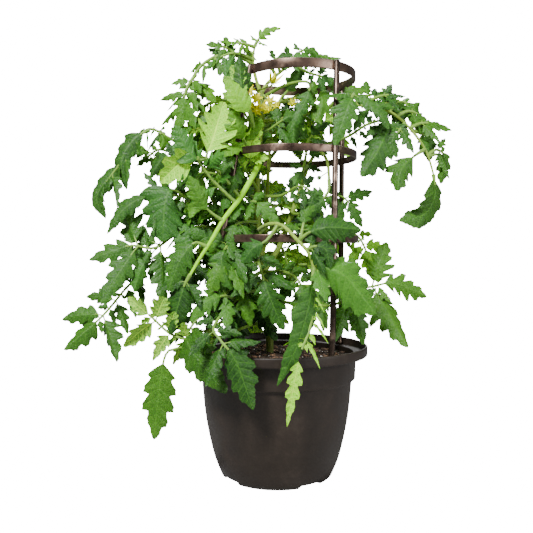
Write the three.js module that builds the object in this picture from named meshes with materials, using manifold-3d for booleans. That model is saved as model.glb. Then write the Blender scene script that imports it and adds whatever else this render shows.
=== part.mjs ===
// A tomato plant in a round plastic pot, inside a support of three rings on four legs.
// Millimetres, +Z up, -Y to the front. The middle of the pot's foot is the origin.
import * as THREE from "three";
import { mergeVertices } from "three/addons/utils/BufferGeometryUtils.js";
import Module from "manifold-3d";

const wasm = await Module();
wasm.setup();

// Space left between two pieces that touch.
const GAP = 0.3;
// Details smaller than this are dropped after a join or a cut.
const TIDY = 0.12;

// The pot: radii and heights of its outside.
const RIM_RADIUS = 152.5;
const POT_HEIGHT = 218;
const RIM_DEPTH = 16;
const RIM_LIP = 5;
const NECK_RADIUS = 133.5;
const STEP_HEIGHT = 163;
const BODY_RADIUS = 126;
const FOOT_RADIUS = 87;
const WALL = 3;
const FLOOR = 7;
const LEDGE = 4;
const EDGE_ROUND = 2;
const POT_SIDES = 32;
const NOTCH_HEIGHT = 4;
const NOTCH_WIDTH = 38;
const NOTCH_DEPTH = 16;
const NOTCH_COUNT = 4;
// Where the pot's side bends most: a radius and a height, between the foot and the body.
const BULGE = [114.9, 70];
// The outside of the pot's body between its foot and the step below the neck.
const BODY_OUTLINE = [
  [FOOT_RADIUS, 0], [94, 2.5], [105.3, 31], BULGE, [121.6, 110], [BODY_RADIUS, STEP_HEIGHT - 5],
];
const NECK_FOOT = BODY_RADIUS + 6;
// The radii and heights of the inside below the ledge, from the top down.
const NECK_INSIDE = NECK_FOOT - WALL;
const FLOOR_RADIUS = 93;
const INSIDE = [
  [NECK_INSIDE, STEP_HEIGHT], [BODY_RADIUS - WALL, STEP_HEIGHT - 5], [BULGE[0] - WALL, BULGE[1]],
  [FLOOR_RADIUS, FLOOR],
];

// The soil's top, higher in the middle than at the wall: radii and heights inside its edge, and the lumps'
// height, waves around the pot and turns per mm outwards.
const SOIL_EDGE = 195;
const SOIL_TOP = [[104, 197.5], [72, 199.5], [38, 201], [0, 202]];
const SOIL_LUMP = 1.5;
const SOIL_WAVES = [{ around: 3, outwards: 0.11 }, { around: 7, outwards: -0.07 }];

// The support: a cone of legs that leans a little to the right.
const RING_TOP = 665;
const RING_TOP_RADIUS = 94;
const SPREAD_PER_MM = 0.0975;
const LEAN_TOP = 36;
const LEAN_PER_MM = 0.0775;
const BAND = 3.2;
// Each ring's top edge and its height.
const RINGS = { ring_top: [673, 15], ring_middle: [540, 12], ring_low: [401, 12] };
const RING_SIDES = 32;
const LEG_RADIUS = 4.8;
const LEG_SEAT = 4;
const LEG_COUNT = 4;
const FIRST_LEG_DEGREES = 35;
const LEG_SIDES = 8;
const LEG_TOP_ROUND = 2;
const SHOE_RADIUS = 6.8;
const SHOE_EDGE = 3;
const SHOE_HEIGHT = 9;
const SHOE_SEAT = 0.5;
// The leg bends outwards from its shoe over this height.
const LEG_BEND = 36;

// Leaf stalks: half thickness at both ends, and the length of a straight step.
const SHEET = 0.8;
const STALK_ROOT = 1.9;
const STALK_END = 1;
const STALK_STEP = 34;

// Leaflets: half widths as shares of their length, and how a side leaflet leaves the stalk. "spread"
// is how far the drawn numbers move each value.
const END_HALF_WIDTH = 0.3;
const SIDE_HALF_WIDTH = 0.27;
const FOLD_DEGREES = -10;
const FOLD_SPREAD = 16;
const LOBE_SPREAD = 0.14;
const LOBE_LIFT = 0.05;
const LOBE_SWEEP = 0.12;
const LEAFLET_ANGLE = 66;
const ANGLE_SPREAD = 8;
const LEAFLET_FOOT = 2.5;
const LENGTH_SPREAD = 0.12;
const SHORTER_PER_PAIR = 0.16;
const DROOP = 0.22;
const DROOP_SPREAD = 0.12;

// Pairs of side leaflets: the first pair's distance below the end leaflet and the spacing of the
// others, in leaflet lengths, and the lowest share of the stalk that they may stand at.
const FIRST_PAIR = 0.45;
const PAIR_SPACING = 0.62;
const PAIR_SPREAD = 2;
const LOWEST_PAIR = 0.3;
const LOWER_PER_PAIR = 0.12;

// Stems, trusses and blooms.
const SPAN_STEPS = 8;
const STEM_SIDES = 7;
const STEM_RING_STEP = 45;
const TRUSS_SIDES = 4;
const TRUSS_RADII = [1.6, 1.1];
const TRUSS_RINGS = 4;
const PEDICEL_RADIUS = 0.9;
const PEDICEL_SIDES = 3;
const PEDICEL_HOOK = 5;
// The shares of the truss's stalk between which the blooms' short stalks leave it.
const PEDICELS_FROM = 0.45;
const PEDICELS_SPAN = 0.5;
const PETALS = 5;
const CALYX_BEHIND = 1.12;
// Shapes of a bloom's petals and sepals, as shares of how far it opens.
const PETAL_STAR = { reach: 1, waist: 0.45, point: 0.65, collar: 0.18, bend: 0.35 };
const SEPAL_STAR = { reach: 0.85, waist: 0.2, point: 0.04, collar: 0.1, bend: 0.4 };
const FRUIT_RADIUS = 3.8;
const FRUIT_SIDES = [8, 6];
const FRUIT_STALK_RADIUS = 1;

const COLOURS = {
  pot: 0x3e3630,
  soil: 0x3a2a20,
  support: 0x69554e,
  leaf: 0x467a34,
  pale: 0x9cbc66,
  stem: 0x7b9a45,
  branch: 0xaad75a,
  petal: 0xf0de2c,
};

// The front view in which the plant was measured: steps across and down a square of 533 steps,
// seen from this far in front of the pot's axis.
const VIEW_DISTANCE = 1108;
const VIEW_SIDE = -17.4;
const VIEW_HEIGHT = 377;
const VIEW_FOCAL = 655;
const VIEW_MIDDLE = 266.5;
const VIEW_HORIZON = 250;

// Directions that a leaf's upper face can look in.
const FACES = {
  front: [0, -1, 0.35],
  below: [0, -1, -0.35],
  up: [0, -0.45, 1],
  left: [-0.7, -0.7, 0.5],
  right: [0.7, -0.7, 0.5],
  away: [0, 1, 0.35],
  backUp: [0, 0.5, 1],
  backLeft: [-0.7, 0.7, 0.5],
  backRight: [0.7, 0.7, 0.5],
};

// Half outlines of a leaflet: share of its length, share of its half width.
const LOBED = {
  outline: [[0.12, 0.5], [0.34, 1], [0.44, 0.58], [0.66, 0.8], [0.76, 0.34]],
  ribShares: [0.25, 0.62],
};
const TOOTHED = { outline: [[0.22, 0.75], [0.46, 1], [0.72, 0.5]], ribShares: [0.45] };

// Stems: the stem that each grows from, its points in the front view (across, down, depth), and its
// radius at both ends. Leaves listed under a stem with no name of their own are part of it.
const STEMS = {
  trunk: {
    path: [
      [270, 392, 10], [270, 355, 10], [268, 300, 8], [262, 262, 5], [257, 225, 5],
      [257, 185, 5], [260, 148, 5], [262, 118, 5], [260.5, 92, 5],
    ],
    radii: [7, 4.2],
  },
  stem_right: {
    on: "trunk",
    path: [
      [262, 272, 5], [280, 245, 18], [300, 190, 28], [309, 164, 24], [319, 152, 14],
      [327, 162, 4], [329, 182, -2],
    ],
    radii: [5.6, 2.2],
  },
  stem_back: {
    on: "trunk",
    path: [
      [262, 256, 5], [266, 234, 38], [267, 201, 42], [269, 160, 40], [272, 130, 34],
      [277, 108, 26], [283, 96, 22],
    ],
    radii: [4, 2.4],
  },
  branch_front_left: {
    on: "trunk",
    path: [
      [260, 150, 5], [258, 166, -34], [240, 198, -70], [224, 219, -92], [211, 241, -104],
      [200, 258, -110], [190, 275, -116],
    ],
    radii: [5.6, 2.2],
    colour: "branch",
  },
  branch_right: {
    on: "trunk",
    path: [
      [262, 122, 5], [285, 119, -12], [306, 114, -28], [328, 109, -48], [358, 106, -60],
      [382, 110, -62], [396, 117, -62], [411, 131, -62], [425.6, 152, -60], [433, 175, -58],
    ],
    radii: [3.6, 1.6],
  },
  stem_front: {
    on: "trunk",
    path: [
      [257, 232, 5], [260, 229, -60], [270, 224, -112], [283, 226, -134], [297, 240, -144],
      [308, 252, -146], [314, 268, -146],
    ],
    radii: [4, 2.2],
  },
  shoot_top_left: {
    on: "trunk",
    path: [[260.5, 94, 5], [255, 76, 0], [253, 60, -2], [255, 48, -2]],
    radii: [3.4, 1.8],
  },
  shoot_top_right: {
    on: "trunk",
    path: [[260.5, 96, 5], [268, 84, 16], [281, 73, 30], [293, 65, 42]],
    radii: [3.4, 1.8],
  },
};

// Leaves: the path runs from the stem along the stalk to the tip of the end leaflet. "blade" is the end
// leaflet's length, "pairs" the side leaflets below it, "leaflet" the longest of them, "wide" how
// broad the leaflets are.
const LEAVES = [
  // The crown.
  { on: "shoot_top_left", path: [[255, 48, -2], [258, 42, -4], [267, 33, -8], [281, 30, -10]],
    blade: 44, pairs: 1, leaflet: 16, face: "front", wide: 0.8 },
  { on: "shoot_top_left", path: [[255, 49, -2], [246, 46, -10], [232, 44, -18], [218, 42, -22]],
    blade: 34, pairs: 2, leaflet: 20, face: "up", wide: 0.8 },
  { on: "shoot_top_left", path: [[254, 56, -2], [243, 50, 6], [247, 53, 14], [257, 62, 20]],
    blade: 34, pairs: 0, leaflet: 0, face: "front", wide: 0.7 },
  { name: "leaf_left_arching", on: "shoot_top_left",
    path: [[253.5, 66, 0], [237, 57, -8], [222, 56, -14], [203, 66, -20], [191, 84, -22],
      [183, 103, -24], [170, 142, -26]],
    blade: 54, pairs: 3, leaflet: 38, face: "left", wide: 0.8 },
  { name: "leaf_left_upright", on: "trunk",
    path: [[260, 144, 5], [254, 130, -60], [244, 112, -86], [236, 88, -90], [241, 60, -86]],
    blade: 84, pairs: 0, leaflet: 0, face: "away", wide: 0.9 },
  // The left side.
  { name: "leaf_left_upper", on: "trunk",
    path: [[258, 172, 5], [215, 165, 22], [172, 140, 10], [148, 130, 2], [128, 156, -6],
      [101, 192, -10], [106, 218, -12]],
    blade: 66, pairs: 3, leaflet: 54, face: "left", wide: 0.8 },
  { name: "leaf_left_behind", on: "trunk",
    path: [[257, 186, 5], [214, 168, 42], [181, 156, 52], [160, 150, 44], [150, 156, 36],
      [137, 166, 30]],
    blade: 26, pairs: 2, leaflet: 42, face: "front", wide: 0.85 },
  { name: "leaf_left_middle", on: "trunk",
    path: [[257, 208, 5], [216, 206, -30], [185, 197, -56], [150, 196, -70], [124, 209, -76],
      [107, 234, -80]],
    blade: 60, pairs: 2, leaflet: 58, face: "front", wide: 0.8 },
  { name: "leaf_left_lower", on: "trunk",
    path: [[257, 226, 5], [215, 230, -22], [178, 234, -50], [155, 248, -66], [128, 246, -74],
      [89, 260, -82]],
    blade: 62, pairs: 2, leaflet: 62, face: "front", wide: 0.85 },
  { name: "leaf_left_reaching", on: "trunk",
    path: [[260, 250, 5], [205, 254, 2], [160, 260, -34], [130, 284, -60], [112, 305, -72],
      [97, 321, -78], [63, 350, -88]],
    blade: 66, pairs: 2, leaflet: 48, face: "front", wide: 0.9 },
  { name: "leaf_left_pale", on: "trunk",
    path: [[267, 303, 8], [230, 317, -56], [196, 338, -104], [172, 335, -112], [150, 316, -110],
      [128, 297, -104]],
    blade: 44, pairs: 1, leaflet: 50, face: "away", wide: 0.8, colour: "pale" },
  { name: "leaf_left_hanging", on: "trunk",
    path: [[268, 319, 8], [230, 333, -60], [200, 346, -98], [176, 349, -112], [163, 362, -120],
      [153, 441, -126]],
    blade: 116, pairs: 0, leaflet: 0, face: "front", wide: 0.8 },
  // On the pale branch in front.
  { on: "branch_front_left",
    path: [[240, 198, -70], [222, 175, -80], [207, 159, -84], [213, 140, -80], [224, 103, -74]],
    blade: 84, pairs: 0, leaflet: 0, face: "away", wide: 0.9 },
  { on: "branch_front_left",
    path: [[236, 203, -75], [214, 182, -92], [200, 164, -102], [188, 152, -104], [170, 158, -106]],
    blade: 54, pairs: 1, leaflet: 50, face: "left", wide: 1 },
  { on: "branch_front_left",
    path: [[223, 221, -93], [208, 210, -108], [198, 194, -118], [189, 176, -120]],
    blade: 60, pairs: 0, leaflet: 0, face: "front", wide: 1 },
  { on: "branch_front_left",
    path: [[207, 247, -106], [194, 243, -112], [180, 260, -118], [168, 292, -120]],
    blade: 84, pairs: 0, leaflet: 0, face: "front", wide: 0.9 },
  { on: "branch_front_left",
    path: [[190, 275, -116], [184, 286, -118], [178, 305, -120], [170, 334, -120]],
    blade: 76, pairs: 1, leaflet: 30, face: "front", wide: 1 },
  // On the long branch to the right.
  { on: "branch_right", path: [[346, 107, -56], [353, 95, -92], [347, 108, -116], [334, 146, -122]],
    blade: 84, pairs: 1, leaflet: 36, face: "front", wide: 0.8 },
  { on: "branch_right", path: [[362, 106, -60], [372, 97, -62], [386, 92, -60], [405, 93, -58]],
    blade: 30, pairs: 2, leaflet: 22, face: "up", wide: 0.8 },
  { on: "branch_right", path: [[388, 113, -62], [397, 103, -40], [410, 106, -30], [420, 118, -26]],
    blade: 34, pairs: 1, leaflet: 22, face: "up", wide: 0.8 },
  { on: "branch_right", path: [[409, 129, -62], [420, 124, -56], [434, 125, -50], [451, 131, -46]],
    blade: 44, pairs: 1, leaflet: 28, face: "up", wide: 0.8 },
  { on: "branch_right", path: [[424, 150, -60], [413, 157, -78], [401, 170, -90], [397, 191, -94]],
    blade: 66, pairs: 0, leaflet: 0, face: "front", wide: 1.1 },
  { on: "branch_right", path: [[428, 157, -60], [437, 155, -44], [443, 164, -36], [444, 180, -34]],
    blade: 44, pairs: 0, leaflet: 0, face: "right", wide: 0.9 },
  { on: "branch_right", path: [[433, 175, -58], [434, 196, -60], [424, 214, -62], [399, 221, -66]],
    blade: 96, pairs: 0, leaflet: 0, face: "right", wide: 0.6 },
  { name: "leaf_right_upper", on: "trunk",
    path: [[261, 140, 5], [300, 149, 0], [343, 139, -30], [367, 125, -50], [388, 122, -66],
      [380, 146, -84], [361, 177, -92]],
    blade: 96, pairs: 2, leaflet: 30, face: "front", wide: 1.1 },
  { name: "leaf_top_folded", on: "trunk",
    path: [[261, 100, 5], [286, 86, -34], [309, 84, -62], [304, 104, -72], [291, 130, -74]],
    blade: 70, pairs: 0, leaflet: 0, face: "front", wide: 0.6 },
  // On the upper right shoot.
  { on: "shoot_top_right", path: [[280, 74, 30], [276, 64, 22], [266, 61, 10]],
    blade: 24, pairs: 0, leaflet: 0, face: "up", wide: 0.8 },
  { on: "shoot_top_right", path: [[285, 70, 34], [287, 60, 30], [286, 52, 26]],
    blade: 22, pairs: 0, leaflet: 0, face: "front", wide: 0.8 },
  { on: "shoot_top_right", path: [[293, 65, 42], [300, 53, 44], [312, 52, 44], [318, 60, 42]],
    blade: 36, pairs: 1, leaflet: 20, face: "front", wide: 0.9 },
  { on: "shoot_top_right", path: [[290, 67, 40], [310, 63, 62], [322, 59, 66], [341, 60, 68]],
    blade: 44, pairs: 1, leaflet: 20, face: "up", wide: 0.8 },
  { on: "shoot_top_right", path: [[288, 68, 38], [300, 66, 66], [300, 74, 72], [289, 92, 72]],
    blade: 48, pairs: 0, leaflet: 0, face: "front", wide: 0.7 },
  // On the right stem.
  { on: "stem_right", path: [[300, 190, 28], [305, 160, 16], [309, 140, 8], [318, 128, 0], [330, 124, -6]],
    blade: 40, pairs: 2, leaflet: 36, face: "front", wide: 0.9 },
  { on: "stem_right", path: [[308, 166, 24], [304, 170, 0], [297, 178, -10], [291, 196, -14]],
    blade: 50, pairs: 0, leaflet: 0, face: "front", wide: 1.1 },
  { on: "stem_right", path: [[329, 180, -2], [328, 192, -8], [318, 205, -14], [306, 218, -16]],
    blade: 46, pairs: 1, leaflet: 30, face: "front", wide: 1 },
  // On the stem in front.
  { on: "stem_front", path: [[314, 267, -142], [322, 267, -148], [345, 276, -154], [376, 314, -150]],
    blade: 110, pairs: 1, leaflet: 34, face: "front", wide: 1 },
  { on: "stem_front",
    path: [[313, 266, -142], [314, 292, -148], [310, 328, -160], [299, 360, -172], [287, 428, -172]],
    blade: 116, pairs: 2, leaflet: 46, face: "below", wide: 0.55 },
  { on: "stem_front", path: [[298, 241, -140], [310, 232, -148], [330, 227, -152], [361, 230, -146]],
    blade: 78, pairs: 0, leaflet: 0, face: "front", wide: 1 },
  { on: "stem_front", path: [[280, 240, -120], [266, 241, -132], [254, 247, -136], [242, 263, -134]],
    blade: 46, pairs: 0, leaflet: 0, face: "front", wide: 1.2 },
  { on: "stem_front", path: [[300, 242, -140], [303, 226, -134], [306, 214, -126], [316, 205, -118]],
    blade: 40, pairs: 1, leaflet: 28, face: "front", wide: 0.9 },
  // Over the pot.
  { name: "leaf_front_left", on: "trunk",
    path: [[264, 270, 6], [230, 290, -62], [200, 316, -98], [187, 338, -114], [200, 362, -136],
      [226, 394, -150]],
    blade: 112, pairs: 1, leaflet: 40, face: "left", wide: 0.9 },
  { name: "leaf_front", on: "trunk",
    path: [[265, 284, 6], [236, 300, -60], [214, 326, -134], [220, 340, -160], [236, 362, -168],
      [253, 411, -172]],
    blade: 92, pairs: 2, leaflet: 54, face: "front", wide: 0.9 },
  { name: "leaf_right_low", on: "trunk",
    path: [[267, 300, 8], [300, 304, -34], [328, 306, -62], [346, 302, -84], [358, 316, -98],
      [364, 345, -102]],
    blade: 58, pairs: 2, leaflet: 46, face: "front", wide: 0.9 },
  { name: "leaf_right_out", on: "trunk",
    path: [[266, 287, 6], [310, 286, 30], [345, 288, 18], [370, 287, 6], [395, 283, -4],
      [427, 297, -8]],
    blade: 76, pairs: 1, leaflet: 82, face: "front", wide: 0.7 },
  { name: "leaf_right_back", on: "trunk",
    path: [[259, 242, 5], [310, 240, 60], [345, 232, 62], [362, 242, 56], [374, 280, 48]],
    blade: 56, pairs: 1, leaflet: 36, face: "front", wide: 0.9 },
  { name: "leaf_right_middle", on: "trunk",
    path: [[257, 204, 5], [300, 206, 50], [334, 196, 44], [348, 202, 40], [362, 227, 34]],
    blade: 50, pairs: 2, leaflet: 40, face: "front", wide: 0.9 },
  // In the middle.
  { name: "leaf_middle_high", on: "trunk",
    path: [[261, 134, 5], [270, 130, -36], [281, 122, -52], [292, 118, -56], [294, 144, -58]],
    blade: 62, pairs: 1, leaflet: 34, face: "front", wide: 1 },
  { name: "leaf_middle_pale", on: "trunk",
    path: [[258, 176, 5], [250, 160, -46], [252, 140, -60], [262, 124, -62]],
    blade: 62, pairs: 1, leaflet: 30, face: "away", wide: 0.9, colour: "pale" },
  { name: "leaf_middle_dark", on: "trunk",
    path: [[257, 196, 5], [280, 196, -40], [300, 186, -62], [312, 196, -68], [306, 216, -70]],
    blade: 46, pairs: 2, leaflet: 38, face: "front", wide: 1 },
  { name: "leaf_middle_cross", on: "trunk",
    path: [[257, 214, 5], [250, 204, -40], [258, 203, -70], [279, 224, -84]],
    blade: 56, pairs: 1, leaflet: 30, face: "front", wide: 1 },
  { name: "leaf_middle_low", on: "trunk",
    path: [[260, 256, 5], [258, 258, -60], [262, 274, -96], [270, 298, -110], [284, 330, -114]],
    blade: 84, pairs: 1, leaflet: 46, face: "front", wide: 0.9 },
  { name: "leaf_middle_left", on: "trunk",
    path: [[258, 238, 5], [238, 240, -60], [224, 250, -96], [222, 266, -106], [232, 290, -108]],
    blade: 70, pairs: 1, leaflet: 50, face: "front", wide: 0.9 },
  { name: "leaf_inner_right", on: "trunk",
    path: [[264, 272, 5], [284, 272, -44], [298, 280, -78], [302, 296, -92], [292, 322, -96]],
    blade: 64, pairs: 1, leaflet: 36, face: "front", wide: 0.9 },
  // The back.
  { name: "leaf_back_high", on: "trunk",
    path: [[262, 124, 5], [276, 112, 70], [284, 114, 120], [290, 150, 150]],
    blade: 78, pairs: 2, leaflet: 48, face: "backUp", wide: 0.9 },
  { name: "leaf_back_left_high", on: "trunk",
    path: [[259, 156, 5], [232, 130, 60], [206, 134, 108], [188, 168, 132]],
    blade: 80, pairs: 2, leaflet: 50, face: "backLeft", wide: 0.9 },
  { name: "leaf_back_right_high", on: "stem_back",
    path: [[269, 160, 40], [300, 126, 84], [332, 128, 116], [352, 160, 128]],
    blade: 80, pairs: 2, leaflet: 50, face: "backRight", wide: 0.9 },
  { name: "leaf_back_left_low", on: "stem_back",
    path: [[266, 236, 37], [236, 226, 96], [206, 240, 140], [186, 280, 160]],
    blade: 84, pairs: 2, leaflet: 54, face: "backLeft", wide: 0.9 },
  { name: "leaf_back_right_low", on: "stem_back",
    path: [[266, 232, 38], [300, 218, 110], [326, 248, 150], [340, 300, 166]],
    blade: 84, pairs: 2, leaflet: 54, face: "backRight", wide: 0.9 },
  { name: "leaf_back_middle", on: "stem_back",
    path: [[267, 205, 42], [262, 180, 100], [258, 190, 140], [254, 232, 166]],
    blade: 84, pairs: 2, leaflet: 54, face: "away", wide: 0.9 },
  { name: "leaf_back_foot", on: "trunk",
    path: [[267, 296, 8], [262, 286, 80], [256, 300, 140], [252, 346, 176]],
    blade: 84, pairs: 2, leaflet: 50, face: "away", wide: 0.9 },
];

// Flower trusses: a stalk in the front view, and blooms at the ends of their own short stalks.
const TRUSSES = {
  truss_left: {
    on: "trunk",
    path: [[261, 104, 5], [257, 98, -14], [258, 92, -28], [264, 90, -38]],
    blooms: [
      { at: [250, 91, -34], open: 9, looks: [-0.5, -1, 0.2] },
      { at: [246, 99, -25], open: 8, looks: [-0.9, -0.9, -0.2] },
      { at: [252, 107, -34], open: 8, looks: [-0.3, -0.8, -1] },
      { at: [262, 108, -40], open: 9, looks: [0, -1, -0.9] },
      { at: [270, 102, -44], open: 8, looks: [0.5, -1, -0.5] },
      { at: [272, 84, -44], open: 10, looks: [0.6, -0.7, 0.9] },
    ],
  },
  truss_right: {
    on: "trunk",
    path: [[262, 108, 5], [278, 104, -26], [290, 99, -40], [297, 97, -46]],
    blooms: [
      { at: [305, 101, -50], open: 8, looks: [0.7, -1, -0.3] },
      { at: [293, 104, -50], open: 7, looks: [-0.2, -1, -0.8] },
    ],
  },
};
// The unripe fruit: its place and the point on the right stem that its stalk leaves from.
const FRUIT_AT = [319, 178, -8];
const FRUIT_STALK_FROM = [328, 172, 1];

const UP = new THREE.Vector3(0, 0, 1);
const radians = THREE.MathUtils.degToRad;

// A fixed draw between -1 and 1 for a leaf and a count within it.
function draw(seed, count) {
  const wave = Math.sin(seed * 12.9898 + count * 78.233) * 43758.5453;
  return (wave - Math.floor(wave)) * 2 - 1;
}

// The place of a point of the front view at a depth in mm.
function seen([across, down, depth]) {
  const scale = (VIEW_DISTANCE + depth) / VIEW_FOCAL;
  return new THREE.Vector3(
    VIEW_SIDE + (across - VIEW_MIDDLE) * scale,
    depth,
    VIEW_HEIGHT - (down - VIEW_HORIZON) * scale,
  );
}

// A closed geometry as a manifold solid.
function solid(geometry) {
  const bare = geometry.clone();
  bare.deleteAttribute("normal");
  bare.deleteAttribute("uv");
  const merged = mergeVertices(bare, 1e-4);
  return new wasm.Manifold(new wasm.Mesh({
    numProp: 3,
    vertProperties: new Float32Array(merged.attributes.position.array),
    triVerts: new Uint32Array(merged.index.array),
  }));
}

// A manifold solid as a three.js geometry.
function geometryOf(body) {
  const mesh = body.getMesh();
  const positions = new Float32Array(mesh.numVert * 3);
  for (let i = 0; i < mesh.numVert; i++)
    for (let k = 0; k < 3; k++) positions[3 * i + k] = mesh.vertProperties[mesh.numProp * i + k];
  const geometry = new THREE.BufferGeometry();
  geometry.setAttribute("position", new THREE.BufferAttribute(positions, 3));
  geometry.setIndex(new THREE.BufferAttribute(new Uint32Array(mesh.triVerts), 1));
  return geometry;
}

// The largest of a solid's separate bodies.
function largest(body) {
  const pieces = body.simplify(TIDY).decompose();
  return pieces.reduce((best, piece) => (piece.volume() > best.volume() ? piece : best));
}

// Triangles given by shared points as a solid.
function solidFromFaces(points, faces) {
  const geometry = new THREE.BufferGeometry();
  geometry.setAttribute("position", new THREE.Float32BufferAttribute(points.flatMap((p) => p.toArray()), 3));
  geometry.setIndex(faces.flat());
  return solid(geometry);
}

// A smooth line through points, which gives its place and direction at any distance along it and runs on
// straight past both ends.
function smoothLine(points) {
  const ends = [points[0], ...points, points[points.length - 1]];
  const places = [];
  for (let i = 1; i < ends.length - 2; i++)
    for (let k = 0; k < SPAN_STEPS; k++)
      places.push(onSpan(ends.slice(i - 1, i + 3), k / SPAN_STEPS));
  places.push(points[points.length - 1].clone());
  const reach = [0];
  for (let i = 1; i < places.length; i++) reach.push(reach[i - 1] + places[i].distanceTo(places[i - 1]));
  const length = reach[reach.length - 1];
  const at = (distance) => {
    let i = 1;
    while (i < reach.length - 1 && reach[i] < distance) i++;
    return places[i - 1].clone().lerp(places[i], (distance - reach[i - 1]) / (reach[i] - reach[i - 1]));
  };
  const along = (distance) => at(distance + 1).sub(at(distance - 1)).normalize();
  return { length, at, along };
}

// A place between the middle two of four points.
function onSpan([before, from, to, after], t) {
  const blend = (a, b, c, d) =>
    0.5 * (2 * b + (c - a) * t + (2 * a - 5 * b + 4 * c - d) * t * t + (3 * b - a - 3 * c + d) * t ** 3);
  return new THREE.Vector3(
    blend(before.x, from.x, to.x, after.x),
    blend(before.y, from.y, to.y, after.y),
    blend(before.z, from.z, to.z, after.z),
  );
}

// A round rod between two distances on a line, thinning from one radius to another.
function rod(line, from, to, radii, sides, rings) {
  const points = [];
  const faces = [];
  let across = new THREE.Vector3(1, 0.2, 0.1);
  for (let i = 0; i <= rings; i++) {
    const share = i / rings;
    const distance = from + (to - from) * share;
    const along = line.along(distance);
    across = across.clone().addScaledVector(along, -across.dot(along)).normalize();
    const other = along.clone().cross(across);
    const radius = radii[0] + (radii[1] - radii[0]) * share;
    for (let k = 0; k < sides; k++) {
      const turn = (2 * Math.PI * k) / sides;
      points.push(line.at(distance)
        .addScaledVector(across, radius * Math.cos(turn))
        .addScaledVector(other, radius * Math.sin(turn)));
    }
  }
  for (let i = 0; i < rings; i++)
    for (let k = 0; k < sides; k++) {
      const a = i * sides + k;
      const b = i * sides + ((k + 1) % sides);
      faces.push([a, b, b + sides], [a, b + sides, a + sides]);
    }
  const last = rings * sides;
  for (let k = 1; k < sides - 1; k++) {
    faces.push([0, k + 1, k]);
    faces.push([last, last + k, last + k + 1]);
  }
  return solidFromFaces(points, faces);
}

// A thin solid from a surface's points and faces, thickened to both sides by each point's half thickness.
function sheet(points, faces, halves) {
  const surface = new THREE.BufferGeometry();
  surface.setAttribute("position", new THREE.Float32BufferAttribute(points.flatMap((p) => p.toArray()), 3));
  surface.setIndex(faces.flat());
  surface.computeVertexNormals();
  const normals = surface.attributes.normal;
  const moved = (i, hand) =>
    points[i].clone().addScaledVector(new THREE.Vector3().fromBufferAttribute(normals, i), hand * halves[i]);
  const count = points.length;
  const skin = [...points.map((_, i) => moved(i, 1)), ...points.map((_, i) => moved(i, -1))];
  const edges = new Set(faces.flatMap(([a, b, c]) => [`${a} ${b}`, `${b} ${c}`, `${c} ${a}`]));
  const closed = faces.flatMap(([a, b, c]) => [[a, b, c], [a + count, c + count, b + count]]);
  for (const edge of edges) {
    const [a, b] = edge.split(" ").map(Number);
    if (edges.has(`${b} ${a}`)) continue;
    closed.push([a, a + count, b + count], [a, b + count, b]);
  }
  return solidFromFaces(skin, closed);
}

// The upward and sideways directions of a leaf at a place where it runs along a direction.
function crossAxes(along, face) {
  const normal = face.clone().addScaledVector(along, -face.dot(along)).normalize();
  return { normal, side: along.clone().cross(normal) };
}

// The triangles between one edge of a leaflet and its rib. Both end at the tip, and each point has its
// share of the leaflet's length.
function zip(edge, rib, shares) {
  const faces = [];
  let i = 0;
  let j = 0;
  while (i < edge.length - 1 || j < rib.length - 2) {
    const ribLeft = j < rib.length - 2;
    const edgeLeft = i < edge.length - 2;
    if (edgeLeft && (!ribLeft || shares[edge[i + 1]] <= shares[rib[j + 1]])) {
      faces.push([edge[i], rib[j], edge[i + 1]]);
      i++;
    } else if (ribLeft) {
      faces.push([edge[i], rib[j], rib[j + 1]]);
      j++;
    } else {
      faces.push([edge[i], rib[j], edge[i + 1]]);
      i++;
    }
  }
  return faces;
}

// Adds a leaflet to a leaf's surface, on the edge between two of its points: a folded, lobed blade whose
// rib follows "place".
function addLeaflet(surface, left, right, place, face, halfWidth, form, seed) {
  const { outline, ribShares } = form;
  const fold = Math.tan(radians(FOLD_DEGREES + FOLD_SPREAD * draw(seed, 1)));
  const shares = { [left]: 0, [right]: 0 };
  const addPoint = (point, share) => {
    shares[surface.points.length] = share;
    surface.halves.push(SHEET / 2);
    return surface.points.push(point) - 1;
  };
  const rib = ribShares.map((share) => addPoint(place(share), share));
  rib.push(addPoint(place(1), 1));
  surface.faces.push([right, rib[0], left]);
  for (const hand of [1, -1]) {
    const edge = outline.map(([share, width], i) => {
      const along = place(share + 0.02).sub(place(share - 0.02)).normalize();
      const { normal, side } = crossAxes(along, face);
      const reach = halfWidth * width * (1 + LOBE_SPREAD * draw(seed, 10 + i * hand));
      const lift = fold * reach + LOBE_LIFT * halfWidth * draw(seed, 20 + i * hand);
      const point = place(share).addScaledVector(side, hand * reach);
      return addPoint(point.addScaledVector(normal, lift).addScaledVector(along, LOBE_SWEEP * reach), share);
    });
    const faces = zip([hand > 0 ? right : left, ...edge, rib[rib.length - 1]], rib, shares);
    surface.faces.push(...(hand > 0 ? faces.map(([a, b, c]) => [a, c, b]) : faces));
  }
}

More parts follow.
